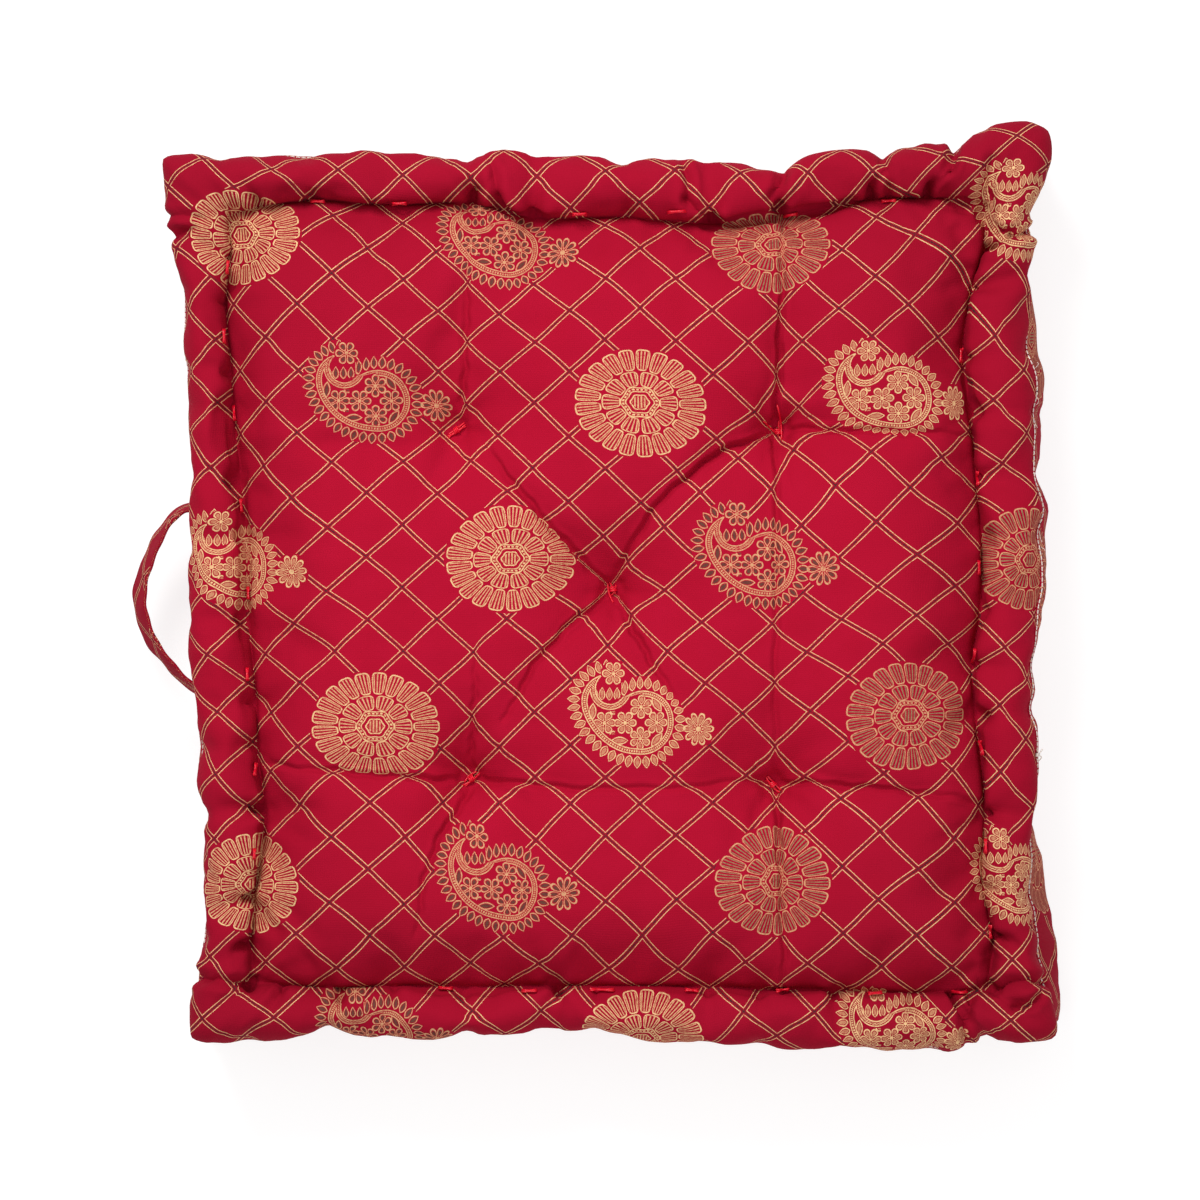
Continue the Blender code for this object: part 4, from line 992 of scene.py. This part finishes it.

    # Painted shade: the colour is darkened towards the rolled edges, which slope away from the light.
    spread = add(tree, "ShaderNodeTexCoord", {}).node.outputs["Object"]
    spread = add(tree, VECTOR, {"operation": "MULTIPLY"}, spread, (1.0, 1.0, 0.0))
    spread = add(tree, VECTOR, {"operation": "LENGTH"}, spread)
    spread = add(tree, "ShaderNodeMapRange", {}, spread, 0.13, 0.29, 0.0, 0.6)
    base = add(tree, "ShaderNodeMix", {"data_type": "RGBA"}, spread, base, linear("#7E0A20"))
    # The brown fill is painted shade on the motifs marked as turned from the light.
    base = add(tree, "ShaderNodeMix", {"data_type": "RGBA"}, unlit_fill, base, linear("#5A2228"))
    base = add(tree, "ShaderNodeMix", {"data_type": "RGBA"}, trellis_dark, base, linear("#40282A"))
    base = add(tree, "ShaderNodeMix", {"data_type": "RGBA"}, gold, base, linear("#E8C08C"))
    tree.links.new(base, shader.inputs["Base Color"])
    gloss = add(tree, "ShaderNodeMapRange", {}, gold, 0.0, 1.0, 0.85, 0.55)
    tree.links.new(gloss, shader.inputs["Roughness"])
    shader.inputs["Sheen Weight"].default_value = 0.01
    shader.inputs["Sheen Roughness"].default_value = 0.4
    shader.inputs["Sheen Tint"].default_value = linear("#E07080")
    shader.inputs["Specular IOR Level"].default_value = 0.05
    shader.inputs["IOR"].default_value = 1.5

    # Plain weave, drawn at 1.1 mm because its real 0.4 mm is too fine to show.
    warp = add(tree, VECTOR, {"operation": "MULTIPLY"}, place, (2 * math.pi / 1.1, 2 * math.pi / 1.1, 0.0))
    warp = add(tree, VECTOR, {"operation": "SINE"}, warp)
    warp = add(tree, VECTOR, {"operation": "DOT_PRODUCT"}, warp, (0.5, 0.5, 0.0))
    rumple = add(tree, "ShaderNodeTexNoise", {}, place, 0.075, 4.0, 0.55)
    rumple = add(tree, MATH, {"operation": "MULTIPLY_ADD"}, rumple, 14.0, warp)
    bump = add(tree, "ShaderNodeBump", {}, 0.5, 0.00007)
    tree.links.new(rumple, bump.node.inputs["Height"])
    tree.links.new(bump, shader.inputs["Normal"])
    return material


# Motifs painted as catching the light on their metallic print are marked 1 (painted glint), those painted in shade
# 0.5, and 0 is cloth of the top between the motifs.
cloth_at[loop_vertex] = uv / MM
print_and_glint = np.full(len(mesh.vertices), 0.5)
print_and_glint[loop_vertex[top_loop]] = 0.0
for _, _, row, place, paisley, catches_light in MOTIFS:
    cell = (FLOWER_AT[0] + row * ROW_STEP[0] + place * MOTIF_PERIOD + paisley * (PAISLEY_AFTER + 7.0),
            FLOWER_AT[1] + row * ROW_STEP[1])
    away = np.hypot((cloth_at[:, 0] - cell[0]) / 50, (cloth_at[:, 1] - cell[1]) / 40)
    print_and_glint = np.where((away < 1.0) & (print_and_glint != 0.5), 0.5 + 0.5 * catches_light, print_and_glint)
mesh.attributes.new("print_and_glint", "FLOAT", "POINT").data.foreach_set("value", print_and_glint.astype(np.float32))
mesh.materials.clear()
mesh.materials.append(printed_cotton("printed_crimson_cotton", "#A60C28"))
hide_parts("cushion")
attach(cover, "root")

# The ties: red floss drawn through the filling and knotted in each pit of the top panel,
# a few strands side by side with the cut ends left free. A stitch shows on the underside.
FLOSS_RADIUS = 0.55
TIE_STRANDS = {
    "back_left": (((-4.6, -3.2), (4.8, 3.0)), ((-3.9, -2.2), (4.2, 3.8)), ((-4.0, -4.1), (5.0, 1.9))),
    "back_right": (((1.9, -4.3), (-0.7, 13.5)), ((0.6, -2.4), (-7.6, 5.2)), ((2.2, -1.8), (0.6, 5.5))),
    "middle": (((-2.6, 3.0), (0.2, -7.0)), ((-1.6, 3.4), (1.4, -2.6)), ((1.6, 2.2), (-1.0, -3.4))),
    "front_left": (((-4.4, -3.4), (4.4, 3.0)), ((-3.4, -4.0), (4.0, 2.0)), ((-3.6, -2.0), (2.6, 3.6))),
    "front_right": (((-3.4, 3.8), (3.6, -4.4)), ((-2.6, 4.2), (4.2, -3.2)), ((-3.6, 2.2), (2.6, -4.2))),
}


def surface_of(piece):
    """Search tree of a finished piece's surface, in metres."""
    mesh = piece.data
    points = read_vectors(mesh, "co").tolist()
    return BVHTree.FromPolygons(points, [tuple(face.vertices) for face in mesh.polygons])


def lie_on(surface, plan, from_above=True):
    """Heights at which plan points meet the surface, seen from above or from below."""
    start, way = (0.3, (0, 0, -1)) if from_above else (-0.2, (0, 0, 1))
    shift = np.asarray(plan, float) + PLAN_SHIFT
    return np.array([surface.ray_cast((x * MM, y * MM, start), way)[0][2] / MM for x, y in shift])


def tubes(paths, radii, sides, side_hint):
    """Closed tubes along many paths at once: at each point a ring of the given radius, square
    to the path, turned from the hint direction, with a point at each end. Gives points, faces."""
    paths = np.asarray(paths, float)
    heading = np.gradient(paths, axis=1)
    heading /= np.linalg.norm(heading, axis=2, keepdims=True)
    first = np.cross(heading, np.asarray(side_hint, float))
    first /= np.maximum(np.linalg.norm(first, axis=2, keepdims=True), 1e-9)
    second = np.cross(heading, first)
    angle = np.linspace(0, 2 * math.pi, sides, endpoint=False)
    radii = np.broadcast_to(radii, paths.shape[:2])[..., None, None]
    wall = (paths[:, :, None] + radii * (first[:, :, None] * np.cos(angle)[None, None, :, None]
                                         + second[:, :, None] * np.sin(angle)[None, None, :, None]))
    count, length = paths.shape[:2]
    tips = np.stack([paths[:, 0] - heading[:, 0] * radii[:, 0, 0] * 0.6,
                     paths[:, -1] + heading[:, -1] * radii[:, -1, 0] * 0.6], axis=1)
    points = np.concatenate([wall.reshape(count, -1, 3), tips], axis=1)
    index = np.arange(length * sides).reshape(length, sides)
    index = np.concatenate([index, index[:, :1]], axis=1)
    faces = np.stack([index[:-1, :-1], index[:-1, 1:], index[1:, 1:], index[1:, :-1]], axis=-1).reshape(-1, 4)
    near = np.stack([index[0, 1:], index[0, :-1], np.full(sides, length * sides)], axis=1)
    far = np.stack([index[-1, :-1], index[-1, 1:], np.full(sides, length * sides + 1)], axis=1)
    each = points.shape[1]
    shift = np.arange(count)[:, None, None] * each
    return (points.reshape(-1, 3), (faces[None] + shift).reshape(-1, 4).tolist()
            + (near[None] + shift).reshape(-1, 3).tolist() + (far[None] + shift).reshape(-1, 3).tolist())


def thread_object(name, parts, material):
    """Joins sets of points and faces into one smooth piece of thread."""
    points, faces, total = [], [], 0
    for part_points, part_faces in parts:
        points.append(part_points)
        faces += [[corner + total for corner in face] for face in part_faces]
        total += len(part_points)
    mesh = bpy.data.meshes.new(name)
    mesh.from_pydata(((np.concatenate(points) + (*PLAN_SHIFT, 0.0)) * MM).tolist(), [], faces)
    mesh.polygons.foreach_set("use_smooth", [True] * len(mesh.polygons))
    mesh.update()
    mesh.materials.append(material)
    piece = bpy.data.objects.new(name, mesh)
    bpy.context.scene.collection.objects.link(piece)
    return piece


def floss(name, code, gloss):
    """Mercerised cotton thread: a fine slanting twist, and a silky shine from the plies."""
    material = bpy.data.materials.new(name)
    material.use_nodes = True
    tree = material.node_tree
    shader = tree.nodes["Principled BSDF"]
    place = add(tree, "ShaderNodeTexCoord", {}).node.outputs["Object"]
    twist = add(tree, VECTOR, {"operation": "DOT_PRODUCT"}, place, (5200.0, 4100.0, 6100.0))
    twist = add(tree, MATH, {"operation": "SINE"}, twist)
    shade = add(tree, "ShaderNodeMapRange", {}, twist, -1.0, 1.0, 0.7, 1.0)
    tint = add(tree, "ShaderNodeMix", {"data_type": "RGBA"}, shade, (0.12, 0.0, 0.01, 1.0), linear(code))
    tree.links.new(tint, shader.inputs["Base Color"])
    bump = add(tree, "ShaderNodeBump", {}, 0.5, 0.00008)
    tree.links.new(twist, bump.node.inputs["Height"])
    tree.links.new(bump, shader.inputs["Normal"])
    shader.inputs["Roughness"].default_value = gloss
    shader.inputs["Specular IOR Level"].default_value = 0.4
    shader.inputs["IOR"].default_value = 1.53
    return material


def laid_strand(surface, start, end, bow, lift, radius, sink=0.0, count=13, from_above=True, bridge=0.0):
    """A strand from start to end that bows to one side, lies on the cloth and may dive in at its
    ends. It lies over any slit that is narrower than twice the bridge."""
    t = np.linspace(0, 1, count)[:, None]
    start, end = np.asarray(start, float), np.asarray(end, float)
    run = end - start
    aside = np.array([-run[1], run[0]]) / np.hypot(*run)
    plan = start + run * t + aside * bow * np.sin(math.pi * t)
    height = np.max([lie_on(surface, plan + aside * gap, from_above) for gap in {0.0, bridge, -bridge}], axis=0)
    height = np.convolve(np.pad(height, 2, mode="edge"), [0.1, 0.2, 0.4, 0.2, 0.1], "valid")
    out = 1.0 if from_above else -1.0
    raised = lift + radius * 0.8 - (lift + sink) * (2 * t[:, 0] - 1) ** 6
    return np.column_stack([plan, height + out * raised])


def wrapped_knot(centre, axis, size, radius):
    """A thread wound two and a half times round an axis: a short spiral."""
    t = np.linspace(0, 1, 34)
    axis = np.asarray(axis, float) / np.linalg.norm(axis)
    side = np.cross(axis, (0, 0, 1.0))
    side /= np.linalg.norm(side)
    up = np.cross(side, axis)
    turn = 2 * math.pi * 2.5 * t
    coil = size * (1 - 0.15 * np.cos(math.pi * t))
    return (np.asarray(centre) + np.outer(coil * np.cos(turn), side) + np.outer(coil * np.sin(turn), up)
            + np.outer((t - 0.5) * 4.2 * radius, axis))


cover_surface = surface_of(cover)
red_floss = floss("red_mercerised_floss", "#E80A2C", 0.35)
for name, spot in TUFT_SPOTS.items():
    strands = []
    for order, (start, end) in enumerate(TIE_STRANDS[name]):
        path = laid_strand(cover_surface, np.add(spot, start), np.add(spot, end), (order - 1) * 0.8,
                           0.4 + 0.5 * (order == 0), FLOSS_RADIUS, 0.0, 17)
        thin = FLOSS_RADIUS * (1 - 0.3 * (2 * np.linspace(0, 1, 17) - 1) ** 8)
        strands.append(tubes(path[None], thin[None], 7, (0, 0, 1)))
    start, end = TIE_STRANDS[name][0]
    at = lie_on(cover_surface, [spot])[0] + 1.5
    knot = wrapped_knot((*spot, at), (end[0] - start[0], end[1] - start[1], 0.0), 1.35, FLOSS_RADIUS)
    strands.append(tubes(knot[None], FLOSS_RADIUS, 7, (end[0] - start[0], end[1] - start[1], 0.01)))
    below = laid_strand(cover_surface, np.add(spot, (-4.0, -2.0)), np.add(spot, (4.0, 2.0)), 0.5, 0.3,
                        FLOSS_RADIUS, 0.5, 13, False)
    strands.append(tubes(below[None], FLOSS_RADIUS, 7, (0, 0, 1)))
    tie = thread_object("tie_" + name, strands, red_floss)
    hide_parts("tuft_" + name)
    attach(tie, "root")

# Roll stitches: the same red floss, sewn through the cushion by hand every four
# centimetres. Each shows as one short bright bar in the groove inside the roll.
ROLL_STITCHES = (
    ((-195.8, 173.0), (-196.4, 166.5)), ((-197.9, 138.0), (-197.7, 131.0)), ((-193.8, 99.5), (-193.0, 92.0)),
    ((-190.0, 51.5), (-189.4, 45.0)), ((-186.4, 6.5), (-186.2, 0.5)), ((-186.2, -34.7), (-186.0, -41.0)),
    ((-181.8, -83.5), (-182.4, -89.5)), ((-182.2, -127.0), (-182.4, -132.0)),
    ((-88.5, -198.3), (-81.5, -198.6)), ((-45.8, -199.3), (-38.5, -199.0)), ((-11.2, -198.8), (1.0, -199.0)),
    ((37.5, -199.0), (44.0, -199.3)), ((84.0, -199.6), (90.5, -199.2)), ((131.0, -201.0), (138.0, -200.6)),
    ((173.9, -200.4), (181.6, -200.2)), ((28.6, 197.6), (37.7, 198.2)), ((-20.0, 196.6), (-13.0, 196.8)),
    ((-112.0, 202.0), (-105.0, 202.2)), ((-154.0, 203.8), (-147.0, 203.6)), ((88.0, 196.4), (95.0, 197.6)),
    ((138.0, 204.0), (145.0, 204.2)), ((179.0, 128.6), (178.4, 121.6)), ((186.7, 65.6), (186.7, 58.8)),
    ((187.6, 20.0), (187.8, 13.0)), ((185.0, -25.0), (184.6, -32.0)), ((188.0, -72.0), (189.0, -79.0)),
    ((190.4, -122.0), (190.4, -129.0)), ((193.0, -166.0), (193.6, -173.0)),
)
bars = []
for start, end in ROLL_STITCHES:
    for aside, bow in ((-0.35, 0.3), (0.45, -0.3)):
        run = np.subtract(end, start)
        shift = aside * np.array([-run[1], run[0]]) / np.hypot(*run)
        path = laid_strand(cover_surface, start + shift, end + shift, bow, 0.5, 0.6, 1.6, 11, True, 1.6)
        bars.append(tubes(path[None], 0.6, 6, (0, 0, 1)))
low_edge = low_groove[::CELLS // 10]
low_next = np.roll(low_groove, -1, axis=0)[::CELLS // 10]
for here, there in zip(low_edge, low_next):
    way = (there - here) / np.linalg.norm(there - here)
    path = laid_strand(cover_surface, here - way * 3.5, here + way * 3.5, 0.0, 0.5, 0.6, 1.6, 11, False)
    bars.append(tubes(path[None], 0.6, 6, (0, 0, 1)))
roll_stitches = thread_object("roll_stitches", bars, red_floss)
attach(roll_stitches, "root")

# Band seam: the top's raw edge is turned in over the band and sewn down by machine in
# white thread, on a thin proud fold that runs round the cushion under the top roll.
SEAM_FOLD_RADIUS = 1.1
STITCH_PITCH = 2.75
STITCH_LENGTH = 2.1
SEAM_LIFT = 60.0            # height of the seam over the floor
SEAM_RAISED = 12.5          # on the right the roll turns outwards and lifts it by this much


def round_the_side(place, height):
    """Points on the side of the cover at distances along its edge: cast inwards at their heights."""
    ring = np.concatenate([outer, outer[:1]])
    facing = np.concatenate([outward, outward[:1]])
    plan = np.stack([np.interp(place, edge_run, ring[:, k]) for k in (0, 1)], axis=1)
    face = np.stack([np.interp(place, edge_run, facing[:, k]) for k in (0, 1)], axis=1)
    face /= np.linalg.norm(face, axis=1)[:, None]
    found = []
    for (x, y), (a, b), z in zip(plan + PLAN_SHIFT + face * 40.0, face, height):
        hit = cover_surface.ray_cast((x * MM, y * MM, z * MM), (-a, -b, 0.0))
        found.append((hit[0][0] / MM, hit[0][1] / MM))
    return np.array(found) - PLAN_SHIFT, face


seam_steps = np.arange(0.0, edge_run[-1], STITCH_PITCH / 2)
seam_y = np.interp(seam_steps, edge_run, np.append(outer[:, 1], outer[0, 1]))
raised = np.clip((150.0 - seam_y) / 30.0, 0, 1) * np.clip((seam_y + 105.0) / 25.0, 0, 1)
raised = (3 * raised ** 2 - 2 * raised ** 3) * (seam_steps > edge_run[CELLS]) * (seam_steps < edge_run[2 * CELLS])
seam_height = SEAM_LIFT + SEAM_RAISED * raised
seam_plan, seam_face = round_the_side(seam_steps, seam_height)
wrap = np.concatenate([seam_plan[-6:], seam_plan, seam_plan[:6]])
blur = np.ones(7) / 7
seam_plan = np.stack([np.convolve(wrap[:, k], blur, "valid") for k in (0, 1)], axis=1)[3:-3]
seam_line = np.column_stack([seam_plan - seam_face * (0.5 - 0.5 * raised[:, None]), seam_height])
fold_points, fold_faces = tubes(np.concatenate([seam_line, seam_line[:1]])[None], SEAM_FOLD_RADIUS, 8, (0, 0, 1))
seam_fold = thread_object("seam_fold", [(fold_points, fold_faces)], mesh.materials[0])
fold_mesh = seam_fold.data
loop_at = np.zeros(len(fold_mesh.loops), np.int32)
fold_mesh.loops.foreach_get("vertex_index", loop_at)
ring_of = np.minimum(loop_at // 8, len(seam_steps))
fold_uv = np.column_stack([ring_of * STITCH_PITCH / 2, 3.0 * (loop_at % 8) / 8]) + BAND_CLOTH
fold_mesh.uv_layers.new(name="cloth").data.foreach_set("uv", (fold_uv * MM).reshape(-1).astype(np.float32))
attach(seam_fold, "root")

lift = SEAM_FOLD_RADIUS * 0.72
middles = seam_line[::2][:-1]
faces_out = seam_face[::2][:-1]
ahead = np.roll(seam_line, -1, axis=0)[::2][:-1] - middles
ahead /= np.linalg.norm(ahead, axis=1)[:, None]
t = np.linspace(-0.5, 0.5, 6)
side_up = raised[::2][:-1, None]
out_up = np.column_stack([faces_out * (0.75 - 0.3 * side_up), 0.66 + 0.23 * side_up])
arch = (0.28 * (1 - (2 * t) ** 4))[None, :, None] + lift
stitches = middles[:, None] + ahead[:, None] * (STITCH_LENGTH * t)[None, :, None] + out_up[:, None] * arch
white_thread = floss("white_sewing_thread", "#EFE6DC", 0.6)
# The thread ends on the right in a small knot with two short ends, and a little lint clings there.
near_knot = int(np.argmin(np.abs(middles[:, 1] + 79.0) + 1000.0 * (middles[:, 0] < 150.0)))
knot_at = middles[near_knot] + (0.6, 0.0, 1.6)
knot = [wrapped_knot(knot_at, ahead[near_knot], 0.9, 0.34)[None]]
loose = np.random.default_rng(5)
curl = np.linspace(0, 1, 12)[:, None]
for place_y, length in ((-79.0, 5.0), (-79.0, 3.5), (99.0, 5.0), (92.0, 4.0), (118.0, 3.5), (34.0, 5.5), (26.0, 4.5)):
    near = int(np.argmin(np.abs(middles[:, 1] - place_y) + 1000.0 * (middles[:, 0] < 150.0)))
    way = loose.uniform(-1, 1, 3) * (0.6, 1.0, 0.15)
    bend = loose.uniform(-1, 1, 3) * (1.0, 0.6, 0.2)
    knot.append((middles[near] + (1.4, 0.0, 1.3) + way * length * curl
                 + bend * 0.4 * length * np.sin(math.pi * curl))[None])
ends = [tubes(part, 0.34 if order < 3 else 0.13, 5, (0.3, 0.2, 1.0)) for order, part in enumerate(knot)]
top_stitch = thread_object("top_stitch", [tubes(stitches, 0.36, 5, (0.3, 0.2, 1.0))] + ends, white_thread)
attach(top_stitch, "root")

# The strap handle: a strip of the same cotton, folded in on itself to four layers, sewn
# along both edges and let into the band on the left, where it stands in a loose loop.
STRAP_WIDTH = 22.0
STRAP_THICKNESS = 2.4
STRAP_HEIGHT = 46.0         # middle of the strap over the floor, at its ends
STRAP_DROOP = 5.0           # and this much lower at its middle
STRAP_LEAN = math.radians(10.0)
STRAP_SECTIONS = 90
STRAP_SIDES = 28
STRAP_ROUTE = (
    (-210.5, 47.6), (-220.3, 46.9), (-226.4, 42.4), (-231.5, 34.7), (-236.9, 22.5),
    (-240.9, 9.7), (-241.6, -2.0), (-239.3, -13.0), (-235.1, -22.9), (-228.5, -32.0),
    (-221.5, -40.0), (-210.5, -49.0),
)
STRAP_CLOTH = (-20.0, 410.0)  # where the strip was cut in the print

route = np.array(STRAP_ROUTE)
knots = np.concatenate([[0], np.cumsum(np.linalg.norm(np.diff(route, axis=0), axis=1))])
at = np.linspace(0, knots[-1], STRAP_SECTIONS + 1)
strap_plan = np.stack([smooth_through(at, knots, route[:, axis]) for axis in (0, 1)], axis=1)
heading = np.gradient(strap_plan, axis=0)
heading /= np.linalg.norm(heading, axis=1)[:, None]
inward = np.stack([-heading[:, 1], heading[:, 0]], axis=1)
bowed = np.sin(math.pi * at / knots[-1]) ** 2
strap_plan[:, 0] -= 1.8 * bowed
strap_middle = STRAP_HEIGHT - STRAP_DROOP * np.sin(math.pi * at / knots[-1])
turn = np.linspace(0, 2 * math.pi, STRAP_SIDES, endpoint=False)
# Cross-section: a rounded bar, pressed in 0.25 mm along a line 2.5 mm inside each edge.
rise = 0.5 * STRAP_WIDTH * np.sign(np.sin(turn)) * np.abs(np.sin(turn)) ** 0.8
thick = 0.5 * STRAP_THICKNESS * np.sign(np.cos(turn)) * np.abs(np.cos(turn)) ** 0.35
thick *= 1 - 0.22 * np.exp(-((np.abs(rise) - 8.2) / 0.9) ** 2)
ripple = 0.35 * np.sin(at / 4.1)[:, None] * np.sin(rise / 5 + 1.0) + 0.25 * np.sin(at / 2.3 + 1)[:, None] * (rise / 11)
lean = STRAP_LEAN + math.radians(9.0) * bowed[:, None]
aside = thick * np.cos(lean) + rise * np.sin(lean) + ripple
lift = rise * np.cos(lean) - thick * np.sin(lean)
lift = lift + 0.4 * np.sin(at / 9.0)[:, None]
strap_points = np.concatenate([strap_plan[:, None] + inward[:, None] * aside[..., None],
                               (strap_middle[:, None] + lift)[..., None]], axis=2)
index = np.arange(strap_points.shape[0] * STRAP_SIDES).reshape(-1, STRAP_SIDES)
index = np.concatenate([index, index[:, :1]], axis=1)
strap_quads = grid_faces(index)[:, ::-1].tolist()
half = STRAP_SIDES // 2
for ring, flip in ((index[0], 1), (index[-1], -1)):
    ends = [[ring[k], ring[k + 1], ring[STRAP_SIDES - 1 - k], ring[STRAP_SIDES - k]] for k in range(1, half - 1)]
    ends += [[ring[0], ring[1], ring[STRAP_SIDES - 1]], [ring[half - 1], ring[half], ring[half + 1]]]
    strap_quads += [end[::flip] for end in ends]
strap_mesh = bpy.data.meshes.new("strap_handle")
strap_mesh.from_pydata(((strap_points.reshape(-1, 3) + (*PLAN_SHIFT, 0.0)) * MM).tolist(), [],
                       [[int(c) for c in face] for face in strap_quads])
strap_mesh.polygons.foreach_set("use_smooth", [True] * len(strap_mesh.polygons))
strap = bpy.data.objects.new("strap_handle", strap_mesh)
bpy.context.scene.collection.objects.link(strap)
loop_at = np.zeros(len(strap_mesh.loops), np.int32)
strap_mesh.loops.foreach_get("vertex_index", loop_at)
ring_of = loop_at // STRAP_SIDES
height_of = rise[loop_at % STRAP_SIDES] + 60.0 * (thick[loop_at % STRAP_SIDES] > 0)
strap_uv = np.column_stack([at[ring_of], height_of]) + STRAP_CLOTH
strap_mesh.uv_layers.new(name="cloth").data.foreach_set("uv", (strap_uv * MM).reshape(-1).astype(np.float32))
# Painted shade: the strap is the cover's printed cotton on a darker crimson, for the handle standing on the shaded
# side.
strap_mesh.materials.append(printed_cotton("crimson_cotton_painted_shade", "#86081C"))

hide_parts("handle")
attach(strap, "root")

# Floor, light and camera.
floor_mesh = bpy.data.meshes.new("floor")
floor_mesh.from_pydata([(-3, -3, -0.0004), (3, -3, -0.0004), (3, 3, -0.0004), (-3, 3, -0.0004)], [], [(0, 1, 2, 3)])
floor = bpy.data.objects.new("floor", floor_mesh)
bpy.context.scene.collection.objects.link(floor)
paper = bpy.data.materials.new("white_paper")
paper.use_nodes = True
paper.node_tree.nodes["Principled BSDF"].inputs["Base Color"].default_value = (0.34, 0.34, 0.34, 1.0)
paper.node_tree.nodes["Principled BSDF"].inputs["Roughness"].default_value = 0.9
paper.node_tree.nodes["Principled BSDF"].inputs["Emission Color"].default_value = (1.0, 1.0, 1.0, 1.0)
paper.node_tree.nodes["Principled BSDF"].inputs["Emission Strength"].default_value = 0.75
floor_mesh.materials.append(paper)

world = bpy.data.worlds.new("studio")
bpy.context.scene.world = world
world.use_nodes = True
sky = world.node_tree
above = add(sky, "ShaderNodeSeparateXYZ", {}, add(sky, "ShaderNodeTexCoord", {})).node.outputs["Z"]
above = add(sky, "ShaderNodeMapRange", {}, above, 0.0, 1.0, 0.05, 1.0)
sky.links.new(above, sky.nodes["Background"].inputs["Strength"])
sky.nodes["Background"].inputs["Color"].default_value = (1.0, 1.0, 1.0, 1.0)
for name, spot, size, power in (("key", (-0.5, 1.2, 1.5), 0.8, 24.0), ("fill", (1.0, -0.8, 1.7), 1.6, 5.0)):
    lamp = bpy.data.lights.new(name, "AREA")
    lamp.shape = "DISK"
    lamp.size = size
    lamp.energy = power
    light = bpy.data.objects.new(name, lamp)
    light.location = spot
    light.rotation_euler = (-Vector(spot)).to_track_quat("-Z", "Y").to_euler()
    bpy.context.scene.collection.objects.link(light)

LENS = 200.0
SENSOR = 36.0
VIEW_WIDTH = 0.612
bpy.context.scene.view_settings.view_transform = "Standard"
camera_data = bpy.data.cameras.new("camera")
camera_data.lens = LENS
camera_data.sensor_width = SENSOR
camera = bpy.data.objects.new("camera", camera_data)
camera.location = (0.0, -0.0062, 0.080 + VIEW_WIDTH * LENS / SENSOR)
bpy.context.scene.collection.objects.link(camera)
bpy.context.scene.camera = camera
